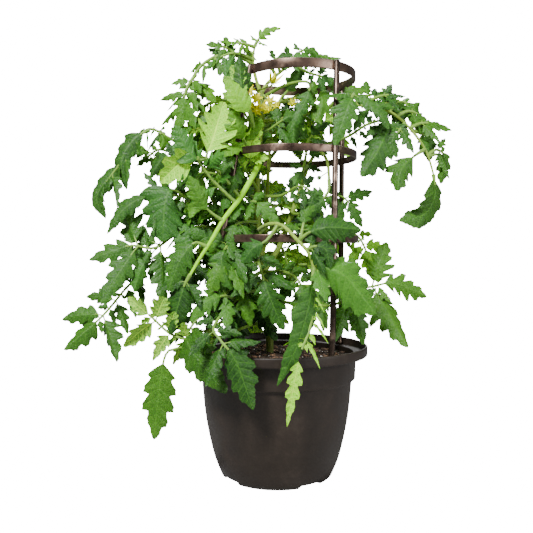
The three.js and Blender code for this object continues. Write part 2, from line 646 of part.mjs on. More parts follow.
// A whole leaf as one thin solid: its stalk, side leaflets in pairs and the end leaflet.
function leaf(form, seed) {
  const line = smoothLine(form.path.map(seen));
  const start = Math.max(line.length - form.blade, STALK_END);
  const face = new THREE.Vector3(...FACES[form.face]).normalize();
  const pairs = pairPlaces(form, start, seed);
  const surface = { points: [], halves: [], faces: [] };
  const stations = stalkStations(start, pairs);
  stations.forEach((distance) => {
    const half = STALK_ROOT + ((STALK_END - STALK_ROOT) * distance) / start;
    const { side } = crossAxes(line.along(distance), face);
    for (const hand of [-1, 1]) {
      surface.points.push(line.at(distance).addScaledVector(side, hand * half));
      surface.halves.push(half);
    }
  });
  for (let i = 0; i < stations.length - 1; i++) {
    const left = 2 * i;
    surface.faces.push([left + 1, left + 3, left + 2], [left + 1, left + 2, left]);
  }
  pairs.forEach((distance, pair) => {
    const left = 2 * stations.indexOf(distance - LEAFLET_FOOT);
    addSideLeaflet(surface, left, left + 2, form, line, distance, pair, -1, seed);
    addSideLeaflet(surface, left + 3, left + 1, form, line, distance, pair, 1, seed);
  });
  const last = surface.points.findLastIndex((_, i) => i < 2 * stations.length);
  addLeaflet(
    surface, last - 1, last, (share) => line.at(start + share * form.blade), face,
    END_HALF_WIDTH * form.blade * form.wide, LOBED, seed,
  );
  return sheet(surface.points, surface.faces, surface.halves);
}

// Where the pairs of side leaflets stand on the stalk; the pair nearest the end leaflet comes first.
function pairPlaces(form, start, seed) {
  const places = [];
  for (let pair = 0; pair < form.pairs; pair++) {
    const below = PAIR_SPACING * form.leaflet * (FIRST_PAIR + pair);
    const distance = start - below + PAIR_SPREAD * draw(seed, 30 + pair);
    places.push(Math.max(distance, (LOWEST_PAIR - LOWER_PER_PAIR * pair) * start));
  }
  return places;
}

// The distances at which the stalk has points: both feet of every pair, and even steps between them.
function stalkStations(start, pairs) {
  const fixed = pairs.flatMap((place) => [place - LEAFLET_FOOT, place + LEAFLET_FOOT]);
  const stops = [0, ...fixed, start].sort((a, b) => a - b);
  return stops.flatMap((stop, i) => {
    if (i === 0) return [stop];
    const steps = Math.max(Math.round((stop - stops[i - 1]) / STALK_STEP), 1);
    return Array.from({ length: steps }, (_, k) =>
      k === steps - 1 ? stop : stops[i - 1] + ((stop - stops[i - 1]) * (k + 1)) / steps);
  });
}

// A side leaflet, which leaves the stalk at an angle and hangs a little.
function addSideLeaflet(surface, left, right, form, line, distance, pair, hand, seed) {
  const count = 40 + 10 * pair + 3 * hand;
  const along = line.along(distance);
  const face = new THREE.Vector3(...FACES[form.face]).normalize();
  const { side } = crossAxes(along, face);
  const angle = radians(LEAFLET_ANGLE + ANGLE_SPREAD * draw(seed, count + 1));
  const heading = along.multiplyScalar(Math.cos(angle)).addScaledVector(side, hand * Math.sin(angle));
  const longest = form.leaflet * (1 - SHORTER_PER_PAIR * pair);
  const length = longest * (1 + LENGTH_SPREAD * draw(seed, count + 2));
  const droop = length * (DROOP + DROOP_SPREAD * draw(seed, count + 3));
  const root = line.at(distance);
  const place = (share) =>
    root.clone().addScaledVector(heading, length * share).addScaledVector(UP, -droop * share * share);
  const halfWidth = SIDE_HALF_WIDTH * length * form.wide;
  addLeaflet(surface, left, right, place, face, halfWidth, TOOTHED, seed + count);
}

// A stem as a rod of the given extra thickness.
function stem(name, extra = 0) {
  const { path, radii } = STEMS[name];
  const line = smoothLine(path.map(seen));
  const rings = Math.round(line.length / STEM_RING_STEP);
  return rod(line, -extra, line.length + extra, radii.map((r) => r + extra), STEM_SIDES, rings);
}

// What grows from a stem, cut back so that it seats just off it.
function seated(body, stemName) {
  return largest(body.subtract(stem(stemName, GAP)));
}

// A turned solid from its profile of radius and height.
function turned(profile, sides) {
  const outline = profile.map(([radius, height]) => new THREE.Vector2(radius, height));
  return solid(new THREE.LatheGeometry(outline, sides).rotateX(Math.PI / 2));
}

// A box of a size around a middle, turned around the pot's axis.
function box(size, middle, turn) {
  return solid(new THREE.BoxGeometry(...size).translate(...middle).rotateZ(turn));
}

function pot() {
  const rimFoot = POT_HEIGHT - RIM_DEPTH;
  const inside = [
    [RIM_RADIUS - RIM_LIP, POT_HEIGHT - EDGE_ROUND], [RIM_RADIUS - RIM_LIP, rimFoot + LEDGE],
    [NECK_INSIDE, rimFoot + LEDGE], ...INSIDE, [0, FLOOR],
  ];
  const outside = [
    [0, 0], ...BODY_OUTLINE, [NECK_FOOT, STEP_HEIGHT], [NECK_RADIUS, rimFoot],
    [RIM_RADIUS - EDGE_ROUND, rimFoot], [RIM_RADIUS, rimFoot + EDGE_ROUND],
    [RIM_RADIUS, POT_HEIGHT - EDGE_ROUND], [RIM_RADIUS - EDGE_ROUND, POT_HEIGHT],
  ];
  let body = turned([...outside, ...inside], POT_SIDES);
  for (let i = 0; i < NOTCH_COUNT; i++) {
    const turn = radians(FIRST_LEG_DEGREES + (360 * i) / NOTCH_COUNT);
    const middle = FOOT_RADIUS + 2 * NOTCH_HEIGHT;
    body = body.subtract(box([NOTCH_WIDTH, 2 * NOTCH_DEPTH, 2 * NOTCH_HEIGHT], [0, -middle, 0], turn));
  }
  return body;
}

// The soil, lumpy on top, with a plain hole for the trunk.
function soil() {
  const top = [[NECK_INSIDE - GAP, SOIL_EDGE], ...SOIL_TOP];
  const skirt = INSIDE.map(([radius, height]) => [radius - GAP, height]);
  const floor = skirt.pop()[0];
  const outline = [[0, FLOOR + GAP], [floor, FLOOR + GAP], ...skirt.reverse(), ...top];
  const profile = outline.map(([radius, height]) => new THREE.Vector2(radius, height));
  const geometry = new THREE.LatheGeometry(profile, POT_SIDES).rotateX(Math.PI / 2);
  const place = geometry.attributes.position;
  for (let i = 0; i < place.count; i++) {
    const radius = Math.hypot(place.getX(i), place.getY(i));
    if (place.getZ(i) < SOIL_EDGE + 1 || radius < 1) continue;
    const turn = Math.atan2(place.getY(i), place.getX(i));
    const waves = SOIL_WAVES.map(({ around, outwards }) => Math.sin(around * turn + outwards * radius));
    place.setZ(i, place.getZ(i) + SOIL_LUMP * waves.reduce((sum, wave) => sum + wave));
  }
  return solid(geometry).subtract(stem("trunk", GAP));
}

// The support's middle and radius at a height.
function support(height) {
  const drop = RING_TOP - height;
  return { x: LEAN_TOP - LEAN_PER_MM * drop, radius: RING_TOP_RADIUS + SPREAD_PER_MM * drop };
}

// A flat band of the support, with extra room on all sides of it.
function ring(top, tall, extra = 0) {
  const { x, radius } = support(top - tall / 2);
  const inner = radius - BAND / 2 - extra;
  const outer = radius + BAND / 2 + extra;
  const low = top - tall - extra;
  const high = top + extra;
  const band = turned([[inner, low], [outer, low], [outer, high], [inner, high], [inner, low]], RING_SIDES);
  return band.translate([x, 0, 0]);
}

// A leg: upright rings of points from its shoe on the pot's ledge to the top band.
function leg(index) {
  const turn = radians(FIRST_LEG_DEGREES + (360 * index) / LEG_COUNT);
  const foot = POT_HEIGHT - RIM_DEPTH + LEDGE + GAP;
  const top = RINGS.ring_top[0];
  const levels = [
    { height: foot, thick: SHOE_RADIUS, seat: SHOE_SEAT },
    { height: foot + SHOE_EDGE, thick: SHOE_RADIUS, seat: SHOE_SEAT },
    { height: foot + SHOE_HEIGHT, thick: LEG_RADIUS, seat: SHOE_SEAT + 1 },
    { height: foot + LEG_BEND, thick: LEG_RADIUS, seat: LEG_SEAT },
    { height: top - LEG_TOP_ROUND, thick: LEG_RADIUS, seat: LEG_SEAT },
    { height: top, thick: LEG_RADIUS - LEG_TOP_ROUND, seat: LEG_SEAT },
  ];
  const points = [];
  const faces = [];
  for (const { height, thick, seat } of levels) {
    const { x, radius } = support(height);
    const reach = radius + seat;
    for (let k = 0; k < LEG_SIDES; k++) {
      const round = (2 * Math.PI * k) / LEG_SIDES + turn;
      points.push(new THREE.Vector3(
        x + reach * Math.sin(turn) + thick * Math.cos(round),
        -reach * Math.cos(turn) + thick * Math.sin(round),
        height,
      ));
    }
  }
  for (let i = 0; i < levels.length - 1; i++)
    for (let k = 0; k < LEG_SIDES; k++) {
      const a = i * LEG_SIDES + k;
      const b = i * LEG_SIDES + ((k + 1) % LEG_SIDES);
      faces.push([a, b, b + LEG_SIDES], [a, b + LEG_SIDES, a + LEG_SIDES]);
    }
  const last = (levels.length - 1) * LEG_SIDES;
  for (let k = 1; k < LEG_SIDES - 1; k++) faces.push([0, k + 1, k], [last, last + k, last + k + 1]);
  const bands = Object.values(RINGS).map(([top, tall]) => ring(top, tall, GAP));
  return largest(solidFromFaces(points, faces).subtract(wasm.Manifold.union(bands)));
}

// A star of pointed petals or sepals, bent back around a direction, with a raised point in the middle.
function star(centre, looks, open, { reach, waist, point, collar, bend }) {
  const across = UP.clone().cross(looks).normalize();
  const other = looks.clone().cross(across);
  const around = (turn, radius, lift) => centre.clone()
    .addScaledVector(across, radius * Math.cos(turn))
    .addScaledVector(other, radius * Math.sin(turn))
    .addScaledVector(looks, lift);
  const points = [around(0, 0, point * open)];
  const faces = [];
  const step = Math.PI / PETALS;
  for (let k = 0; k < PETALS; k++) {
    points.push(around(2 * k * step, collar * open, 0));
    points.push(around(2 * k * step, reach * open, -bend * reach * open));
    points.push(around((2 * k + 1) * step, waist * open, 0));
    const [foot, tip, notch] = [1, 2, 3].map((i) => i + 3 * k);
    const [nextFoot, lastNotch] = [1 + ((3 * k + 3) % (3 * PETALS)), k ? notch - 3 : 3 * PETALS];
    faces.push([0, foot, nextFoot], [foot, tip, notch], [foot, notch, nextFoot], [foot, lastNotch, tip]);
  }
  return sheet(points, faces, points.map(() => SHEET / 2));
}

// A bloom's yellow star, whose middle rises to the pointed tube of its stamens.
function bloom({ at, open, looks }) {
  return star(seen(at), new THREE.Vector3(...looks).normalize(), open, PETAL_STAR);
}

// A truss: its stalk, a short stalk to the back of each bloom, and the bloom's narrow green sepals.
function truss(name) {
  const { path, blooms, on } = TRUSSES[name];
  const line = smoothLine(path.map(seen));
  const parts = [rod(line, 0, line.length, TRUSS_RADII, TRUSS_SIDES, TRUSS_RINGS)];
  blooms.forEach(({ at, open, looks }, i) => {
    const heading = new THREE.Vector3(...looks).normalize();
    const back = seen(at).addScaledVector(heading, -CALYX_BEHIND);
    const from = line.at(line.length * (PEDICELS_FROM + (PEDICELS_SPAN * i) / blooms.length));
    const stalk = smoothLine([from, back.clone().addScaledVector(heading, -PEDICEL_HOOK), back]);
    parts.push(rod(stalk, 0, stalk.length, [PEDICEL_RADIUS, PEDICEL_RADIUS], PEDICEL_SIDES, 2));
    parts.push(star(back, heading, open, SEPAL_STAR));
  });
  return seated(wasm.Manifold.union(parts), on);
}

// The small unripe fruit on its stalk.
function fruit() {
  const place = seen(FRUIT_AT);
  const ball = new THREE.SphereGeometry(FRUIT_RADIUS, ...FRUIT_SIDES).translate(...place.toArray());
  const line = smoothLine([seen(FRUIT_STALK_FROM), place]);
  const stalk = rod(line, 0, line.length, [FRUIT_STALK_RADIUS, FRUIT_STALK_RADIUS], TRUSS_SIDES, 2);
  return solid(ball).add(stalk);
}

const plant = new THREE.Group();

function add(name, body, colour, roughness = 0.6, metalness = 0) {
  const material = new THREE.MeshStandardMaterial({ color: COLOURS[colour], roughness, metalness });
  const mesh = new THREE.Mesh(geometryOf(body), material);
  mesh.name = name;
  plant.add(mesh);
}

add("pot", pot(), "pot", 0.55);
add("soil", soil(), "soil", 0.95);
for (const [name, [top, tall]] of Object.entries(RINGS)) add(name, ring(top, tall), "support", 0.4);
for (let i = 0; i < LEG_COUNT; i++) add(`leg_${i + 1}`, leg(i), "support", 0.4);

// Stems carry the leaves that have no name of their own.
for (const [name, form] of Object.entries(STEMS)) {
  const parts = [stem(name)];
  LEAVES.forEach((item, i) => {
    if (!item.name && item.on === name) parts.push(leaf(item, i + 1));
  });
  if (name === "stem_right") parts.push(fruit());
  const body = wasm.Manifold.union(parts);
  add(name, form.on ? seated(body, form.on) : body, form.colour ?? "stem");
}
LEAVES.forEach((item, i) => {
  if (item.name) add(item.name, seated(leaf(item, i + 1), item.on), item.colour ?? "leaf");
});
for (const name of Object.keys(TRUSSES)) {
  add(name, truss(name), "stem");
  TRUSSES[name].blooms.forEach((form, i) => add(`${name}_bloom_${i + 1}`, bloom(form), "petal", 0.5));
}

export default plant;
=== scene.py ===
# The looks of a tomato plant in a round plastic pot, inside a support of three rings on four legs.
# The frame is in metres, +Z up, -Y to the front. The plant's own measures below are in millimetres, as
# in the part's source, and turn into metres when a mesh is made.
import math
import random

import bpy
import numpy as np
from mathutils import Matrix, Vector


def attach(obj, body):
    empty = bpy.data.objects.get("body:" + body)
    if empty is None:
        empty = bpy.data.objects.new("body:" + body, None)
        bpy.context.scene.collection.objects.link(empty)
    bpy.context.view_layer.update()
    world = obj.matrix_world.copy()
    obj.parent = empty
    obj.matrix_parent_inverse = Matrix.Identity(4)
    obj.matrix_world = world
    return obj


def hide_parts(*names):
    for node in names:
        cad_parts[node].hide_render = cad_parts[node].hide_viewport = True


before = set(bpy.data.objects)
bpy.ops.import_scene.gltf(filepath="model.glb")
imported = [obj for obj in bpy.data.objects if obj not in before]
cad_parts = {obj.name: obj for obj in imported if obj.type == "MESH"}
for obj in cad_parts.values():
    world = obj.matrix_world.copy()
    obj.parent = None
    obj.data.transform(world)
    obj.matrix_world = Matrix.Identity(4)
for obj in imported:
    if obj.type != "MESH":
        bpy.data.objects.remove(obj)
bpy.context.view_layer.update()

MM = 0.001

# Light: how bright the plain surroundings shine on the plant, and how white they and the floor look. The
# lights shine on the plant's middle, each from its place, with its width in metres and its power in watts.
SKY_LIGHT = 0.18
WHITE_ROOM = 18
WHITE_FLOOR = 17
LIT_PLACE = (0, 0, 0.4)
LIGHTS = {
    "key": ((-0.9, -1.8, 2.3), 0.7, 164),
    "fill": ((2.2, -1.6, 1.2), 1.4, 50),
    "back": ((0.3, 2.2, 2.2), 1.6, 50),
}
FLOOR_REACH = 6000
FLOOR_LINES = 13

# The front view in which the plant was measured: steps across and down a square of 533 steps, seen
# from this far in front of the pot's axis.
VIEW_SQUARE = 533
VIEW_DISTANCE = 1108
VIEW_SIDE = -17.4
VIEW_HEIGHT = 377
VIEW_FOCAL = 655
VIEW_MIDDLE = 266.5
VIEW_HORIZON = 250

# The pot, the soil and the support, as in the part's source.
RIM_RADIUS = 152.5
POT_HEIGHT = 218
RIM_DEPTH = 16
RIM_LIP = 5
NECK_RADIUS = 133.5
STEP_HEIGHT = 163
BODY_RADIUS = 126
FOOT_RADIUS = 87
WALL = 3
FLOOR = 7
LEDGE = 4
FLOOR_RADIUS = 93
BULGE = (114.9, 70)
NECK_FOOT = BODY_RADIUS + 6
NOTCH_HEIGHT = 4
NOTCH_WIDTH = 38
NOTCH_COUNT = 4
SOIL_EDGE = 195
SOIL_MIDDLE = 202
RING_TOP = 665
RING_TOP_RADIUS = 94
SPREAD_PER_MM = 0.0975
LEAN_TOP = 36
LEAN_PER_MM = 0.0775
BAND = 3.2
RINGS = {"ring_top": (673, 15), "ring_middle": (540, 12), "ring_low": (401, 12)}
LEG_RADIUS = 4.8
LEG_SEAT = 4
LEG_COUNT = 4
FIRST_LEG_DEGREES = 35
SHOE_RADIUS = 6.8
SHOE_EDGE = 3
SHOE_HEIGHT = 9
SHOE_SEAT = 0.5
LEG_BEND = 36
GAP = 0.3

# Leaves and their leaflets, the trusses and the fruit, as in the part's source.
STALK_ROOT = 1.9
STALK_END = 1
END_HALF_WIDTH = 0.3
SIDE_HALF_WIDTH = 0.27
FOLD_DEGREES = -10
FOLD_SPREAD = 16
LEAFLET_ANGLE = 66
ANGLE_SPREAD = 8
LENGTH_SPREAD = 0.12
SHORTER_PER_PAIR = 0.16
DROOP = 0.22
DROOP_SPREAD = 0.12
FIRST_PAIR = 0.45
PAIR_SPACING = 0.62
PAIR_SPREAD = 2
LOWEST_PAIR = 0.3
LOWER_PER_PAIR = 0.12
SPAN_STEPS = 8
TRUSS_RADII = (1.6, 1.1)
PEDICEL_RADIUS = 0.9
PEDICEL_HOOK = 5
PEDICELS_FROM = 0.45
PEDICELS_SPAN = 0.5
CALYX_BEHIND = 1.12
FRUIT_RADIUS = 3.8
FRUIT_STALK_RADIUS = 1

# Where a leaf's upper side faces: across, to the back and up.
FACES = {
    "front": (0, -1, 0.35),
    "up": (0, -0.9, 0.8),
    "left": (-0.7, -0.7, 0.5),
    "right": (0.7, -0.7, 0.5),
    "away": (0, 1, 0.35),
    "backUp": (0, 0.5, 1),
    "backLeft": (-0.7, 0.7, 0.5),
    "backRight": (0.7, 0.7, 0.5),
}

# Stems: what each grows from, its points in the front view (across, down, depth), its radii and how
# young it is, from 0, old, to 1.
STEMS = {
    "trunk": dict(
        on=None, radii=(7, 4.2), age=0.2,
        path=[(270, 392, 10), (270, 355, 10), (268, 300, 8), (262, 262, 5), (257, 225, 5),
              (257, 185, 5), (260, 148, 5), (262, 118, 5), (260.5, 92, 5)],
    ),
    "stem_right": dict(
        on="trunk", radii=(5.6, 2.2), age=0.4,
        path=[(262, 272, 5), (280, 245, 18), (300, 190, 28), (309, 164, 24), (319, 152, 14),
              (327, 162, 4), (329, 182, -2)],
    ),
    "stem_back": dict(
        on="trunk", radii=(4, 2.4), age=0.4,
        path=[(262, 256, 5), (266, 234, 38), (267, 201, 42), (269, 160, 40), (272, 130, 34),
              (277, 108, 26), (283, 96, 22)],
    ),
    "branch_front_left": dict(
        on="trunk", radii=(5.6, 2.2), age=1,
        path=[(260, 150, 5), (258, 166, -34), (240, 198, -70), (224, 219, -92), (211, 241, -104),
              (200, 258, -110), (190, 275, -116)],
    ),
    "branch_right": dict(
        on="trunk", radii=(3.6, 1.6), age=0.4,
        path=[(262, 122, 5), (285, 119, -12), (306, 114, -28), (328, 109, -48), (358, 106, -60),
              (382, 110, -62), (396, 117, -62), (411, 131, -62), (425.6, 152, -60), (433, 175, -58)],
    ),
    "stem_front": dict(
        on="trunk", radii=(4, 2.2), age=0.5,
        path=[(257, 232, 5), (260, 229, -60), (270, 224, -112), (283, 226, -134), (297, 240, -144),
              (308, 252, -146), (314, 268, -146)],
    ),
    "shoot_top_left": dict(
        on="trunk", radii=(3.4, 1.8), age=0.6,
        path=[(260.5, 94, 5), (255, 76, 0), (253, 60, -2), (255, 48, -2)],
    ),
    "shoot_top_right": dict(
        on="trunk", radii=(3.4, 1.8), age=0.6,
        path=[(260.5, 96, 5), (268, 84, 16), (281, 73, 30), (293, 65, 42)],
    ),
}

LEAVES = []


def leaf(path, blade, pairs=0, leaflet=0, face="front", wide=0.9, name=None, colour="leaf", full=1.0,
         hang=0.0, look=None, cut=1.0):
    """A leaf: its path to its tip, the length of its end leaflet, its pairs of side leaflets and the
    longest of them, where it faces, how broad its leaflets are, its own node or none, its colour, how
    full it grows, how much more its side leaflets hang, how bright and young it looks, and how deeply
    its end leaflet is cut."""
    return dict(
        path=path, blade=blade, pairs=pairs, leaflet=leaflet, face=FACES[face], wide=wide, name=name,
        colour=colour, full=full, hang=hang, look=look, cut=cut,
    )


def grow(on, *forms):
    """Lists leaves, which all grow from one stem or leaf."""
    LEAVES.extend(dict(form, on=on) for form in forms)


# The crown.
grow("shoot_top_left",
     leaf([(255, 48, -2), (258, 42, -4), (267, 33, -8), (281, 30, -10)],
          44, 1, 16, wide=0.8, look=(0.6, 0.5)),
     leaf([(255, 49, -2), (246, 46, -10), (232, 44, -18), (218, 42, -22)],
          34, 2, 20, "up", 0.8, look=(0.5, 0.4)),
     leaf([(254, 56, -2), (243, 50, 6), (247, 53, 14), (257, 62, 20)], 34, wide=0.7),
     leaf([(253.5, 66, 0), (237, 57, -8), (222, 56, -14), (203, 66, -20), (191, 84, -22), (183, 103, -24),
           (170, 142, -26)],
          54, 3, 38, "left", 0.8, full=1.15, hang=0.1, look=(0.38, 0.3), name="leaf_left_arching"))
grow("trunk",
     leaf([(260, 144, 5), (254, 130, -60), (244, 112, -86), (236, 88, -90), (241, 60, -86)],
          84, face="away", name="leaf_left_upright"))
# The left side.
grow("trunk",
     leaf([(258, 172, 5), (215, 165, 22), (172, 140, 10), (148, 130, 2), (128, 156, -6), (101, 192, -10),
           (106, 218, -12)],
          66, 3, 54, "left", 0.7, full=0.75, hang=0.3, look=(0.3, 0.12), name="leaf_left_upper"),
     leaf([(257, 186, 5), (214, 168, 42), (181, 156, 52), (160, 150, 44), (150, 156, 36), (137, 166, 30)],
          26, 2, 42, wide=0.85, full=1.2, look=(0.45, 0.35), name="leaf_left_behind"),
     leaf([(257, 208, 5), (216, 206, -30), (185, 197, -56), (150, 196, -70), (124, 209, -76),
           (107, 234, -80)],
          96, 2, 58, wide=0.55, full=0.8, look=(0.25, 0.1), cut=0.6, name="leaf_left_middle"),
     leaf([(257, 226, 5), (215, 230, -22), (178, 234, -50), (155, 248, -66), (128, 246, -74),
           (89, 260, -82)], 62, 2, 62, wide=0.85, full=1.2, look=(0.3, 0.15), name="leaf_left_lower"),
     leaf([(260, 250, 5), (205, 254, 2), (160, 260, -34), (130, 284, -60), (112, 305, -72), (97, 321, -78),
           (63, 350, -88)], 66, 2, 48, look=(0.32, 0.2), name="leaf_left_reaching"),
     leaf([(267, 303, 8), (230, 317, -56), (196, 338, -104), (172, 335, -112), (150, 316, -110),
           (128, 297, -104)],
          44, 1, 50, "away", 1, colour="pale", full=0.9, look=(0.45, 0.1), name="leaf_left_pale"),
     leaf([(268, 319, 8), (230, 333, -60), (200, 346, -98), (176, 349, -112), (163, 362, -120),
           (153, 441, -126)], 116, wide=0.8, look=(0.25, 0.4), cut=0.75, name="leaf_left_hanging"))
# On the pale branch in front.
grow("branch_front_left",
     leaf([(240, 198, -70), (222, 175, -80), (207, 159, -84), (213, 140, -80), (224, 103, -74)],
          84, face="away", wide=1.15, colour="pale", look=(0.95, 0.75)),
     leaf([(236, 203, -75), (214, 182, -92), (200, 164, -102), (188, 152, -104), (170, 158, -106)],
          54, 1, 50, "left", 1, look=(0.95, 0.0)),
     leaf([(223, 221, -93), (208, 210, -108), (198, 194, -118), (189, 176, -120)],
          60, wide=1, look=(0.45, 0.35)),
     leaf([(207, 247, -106), (194, 243, -112), (180, 260, -118), (168, 292, -120)],
          84, look=(0.3, 0.15), cut=0.8),
     leaf([(190, 275, -116), (184, 286, -118), (178, 305, -120), (170, 334, -120)],
          76, 1, 30, wide=1, look=(0.05, 0.1), cut=0.6))
# On the long branch to the right.
grow("branch_right",
     leaf([(346, 107, -56), (353, 95, -92), (347, 108, -116), (334, 146, -122)],
          84, 1, 36, wide=0.8, look=(0.4, 0.12)),
     leaf([(362, 106, -60), (372, 100, -62), (386, 96, -60), (405, 97, -58)],
          30, 2, 22, "up", 0.8, full=1.3),
     leaf([(388, 113, -62), (397, 103, -40), (410, 106, -30), (420, 118, -26)],
          34, 1, 22, "up", 0.8, full=1.5),
     leaf([(409, 129, -62), (420, 124, -56), (434, 125, -50), (451, 131, -46)],
          44, 1, 28, "up", 0.8, full=1.3),
     leaf([(424, 150, -60), (413, 157, -78), (401, 170, -90), (397, 191, -94)],
          66, wide=1.05, look=(0.28, 0.22)),
     leaf([(428, 157, -60), (437, 155, -44), (443, 164, -36), (444, 180, -34)], 44, face="right"),
     leaf([(433, 175, -58), (434, 196, -60), (424, 214, -62), (399, 221, -66)],
          96, face="right", wide=0.85, full=1.2, look=(0.25, 0.25), cut=0.35))
grow("trunk",
     leaf([(261, 140, 5), (300, 149, 0), (343, 139, -30), (367, 125, -50), (388, 122, -66),
           (380, 146, -84), (361, 177, -92)],
          96, 2, 30, wide=0.95, look=(0.22, 0.12), name="leaf_right_upper"),
     leaf([(261, 100, 5), (286, 86, -34), (309, 84, -62), (304, 104, -72), (291, 130, -74)],
          70, wide=0.6, look=(0.35, 0.1), name="leaf_top_folded"))
# On the upper right shoot.
grow("shoot_top_right",
     leaf([(280, 74, 30), (276, 64, 22), (266, 61, 10)], 24, face="up", wide=0.8),
     leaf([(285, 70, 34), (287, 60, 30), (286, 52, 26)], 22, wide=0.8),
     leaf([(293, 65, 42), (300, 53, 44), (312, 52, 44), (318, 60, 42)], 36, 1, 20),
     leaf([(290, 67, 40), (310, 63, 62), (322, 59, 66), (341, 60, 68)], 44, 1, 20, "up", 0.8),
     leaf([(288, 68, 38), (300, 66, 66), (300, 74, 72), (289, 92, 72)], 48, wide=0.7))
# On the right stem.
grow("stem_right",
     leaf([(300, 190, 28), (305, 160, 16), (309, 140, 8), (318, 128, 0), (330, 124, -6)], 40, 2, 36),
     leaf([(308, 166, 24), (304, 170, 0), (297, 178, -10), (291, 196, -14)],
          50, wide=0.75, look=(0.3, 0.2)),
     leaf([(329, 180, -2), (328, 192, -8), (318, 205, -14), (306, 218, -16)], 46, 1, 30, wide=1))
# On the stem in front.
grow("stem_front",
     leaf([(314, 267, -142), (322, 267, -148), (345, 276, -154), (376, 314, -150)],
          110, 1, 40, wide=1.12, look=(0.85, 0.12), cut=0.9),
     leaf([(313, 266, -142), (314, 292, -148), (310, 328, -160), (299, 360, -172), (287, 428, -172)],
          116, 2, 46, "away", 0.38, colour="pale", full=0.65, hang=0.3, look=(1.0, 0.8)),
     leaf([(314, 268, -146), (308, 308, -162), (296, 348, -172), (277, 387, -176)],
          158, face="right", wide=0.42, look=(0.35, 0.1), cut=0.3),
     leaf([(298, 241, -140), (310, 232, -148), (330, 227, -152), (361, 230, -146)],
          78, wide=1, look=(0.12, 0.12), cut=0.8),
     leaf([(278, 225, -126), (266, 241, -132), (254, 247, -136), (242, 263, -134)], 46, wide=1.2),
     leaf([(300, 242, -140), (303, 226, -134), (306, 214, -126), (316, 205, -118)], 40, 1, 28))
# Over the pot.
grow("trunk",
     leaf([(264, 270, 6), (230, 290, -62), (200, 316, -98), (187, 338, -114), (200, 362, -136),
           (226, 394, -150)], 112, 1, 40, "left", 0.85, look=(0.1, 0.3), cut=0.7, name="leaf_front_left"),
     leaf([(265, 284, 6), (236, 300, -60), (214, 326, -134), (220, 340, -160), (236, 362, -168),
           (253, 411, -172)], 96, 2, 40, wide=0.8, look=(0.05, 0.15), cut=0.8, name="leaf_front"),
     leaf([(267, 300, 8), (300, 304, -34), (328, 306, -62), (346, 302, -84), (358, 316, -98),
           (364, 345, -102)], 58, 2, 46, look=(0.32, 0.2), name="leaf_right_low"),
     leaf([(266, 287, 6), (310, 286, 30), (345, 288, 18), (370, 287, 6), (395, 283, -4), (427, 297, -8)],
          76, 1, 82, wide=0.95, look=(0.3, 0.42), name="leaf_right_out"),
     leaf([(259, 242, 5), (310, 240, 60), (345, 232, 62), (362, 242, 56), (374, 280, 48)],
          56, 1, 36, look=(0.7, 0.8), name="leaf_right_back"),
     leaf([(257, 204, 5), (300, 206, 50), (334, 196, 44), (348, 202, 40), (362, 227, 34)],
          50, 2, 40, look=(0.3, 0.15), name="leaf_right_middle"))
# In the middle.
grow("trunk",
     leaf([(261, 134, 5), (270, 130, -36), (281, 122, -52), (292, 118, -56), (294, 144, -58)],
          62, 1, 34, wide=1, look=(0.25, 0.15), name="leaf_middle_high"),
     leaf([(258, 176, 5), (250, 160, -46), (252, 140, -60), (262, 124, -62)],
          62, 1, 30, "away", colour="pale", name="leaf_middle_pale"),
     leaf([(257, 196, 5), (280, 196, -40), (300, 186, -62), (312, 196, -68), (306, 216, -70)],
          46, 2, 38, wide=1, full=0.6, look=(0.1, 0.1), cut=0.8, name="leaf_middle_dark"),
     leaf([(257, 214, 5), (250, 204, -40), (258, 203, -70), (279, 224, -84)],
          56, 1, 30, wide=1, full=0.85, look=(0.5, 0.2), name="leaf_middle_cross"),
     leaf([(260, 256, 5), (258, 258, -60), (262, 274, -96), (270, 298, -110), (284, 330, -114)],
          84, 1, 46, look=(0.22, 0.1), name="leaf_middle_low"),
     leaf([(258, 238, 5), (238, 240, -60), (224, 250, -96), (222, 266, -106), (232, 290, -108)],
          70, 1, 50, look=(0.28, 0.12), name="leaf_middle_left"),
     leaf([(264, 272, 5), (284, 272, -44), (298, 280, -78), (302, 296, -92), (292, 322, -96)],
          64, 1, 36, name="leaf_inner_right"))
# The back.
grow("trunk",
     leaf([(262, 124, 5), (276, 112, 70), (284, 114, 120), (290, 150, 150)],
          78, 2, 48, "backUp", name="leaf_back_high"),
     leaf([(259, 156, 5), (232, 130, 60), (206, 134, 108), (188, 168, 132)],
          80, 2, 50, "backLeft", name="leaf_back_left_high"))
grow("stem_back",
     leaf([(269, 160, 40), (300, 126, 84), (332, 128, 116), (352, 160, 128)],
          80, 2, 50, "backRight", name="leaf_back_right_high"),
     leaf([(266, 236, 37), (236, 226, 96), (206, 240, 140), (186, 280, 160)],
          84, 2, 54, "backLeft", name="leaf_back_left_low"),
     leaf([(266, 232, 38), (300, 218, 110), (326, 248, 150), (340, 300, 166)],
          84, 2, 54, "backRight", name="leaf_back_right_low"),
     leaf([(267, 205, 42), (262, 180, 100), (258, 190, 140), (254, 232, 166)],
          84, 2, 54, "away", name="leaf_back_middle"))
grow("trunk",
     leaf([(267, 296, 8), (262, 286, 80), (256, 300, 140), (252, 346, 176)],
          84, 2, 50, "away", name="leaf_back_foot"))
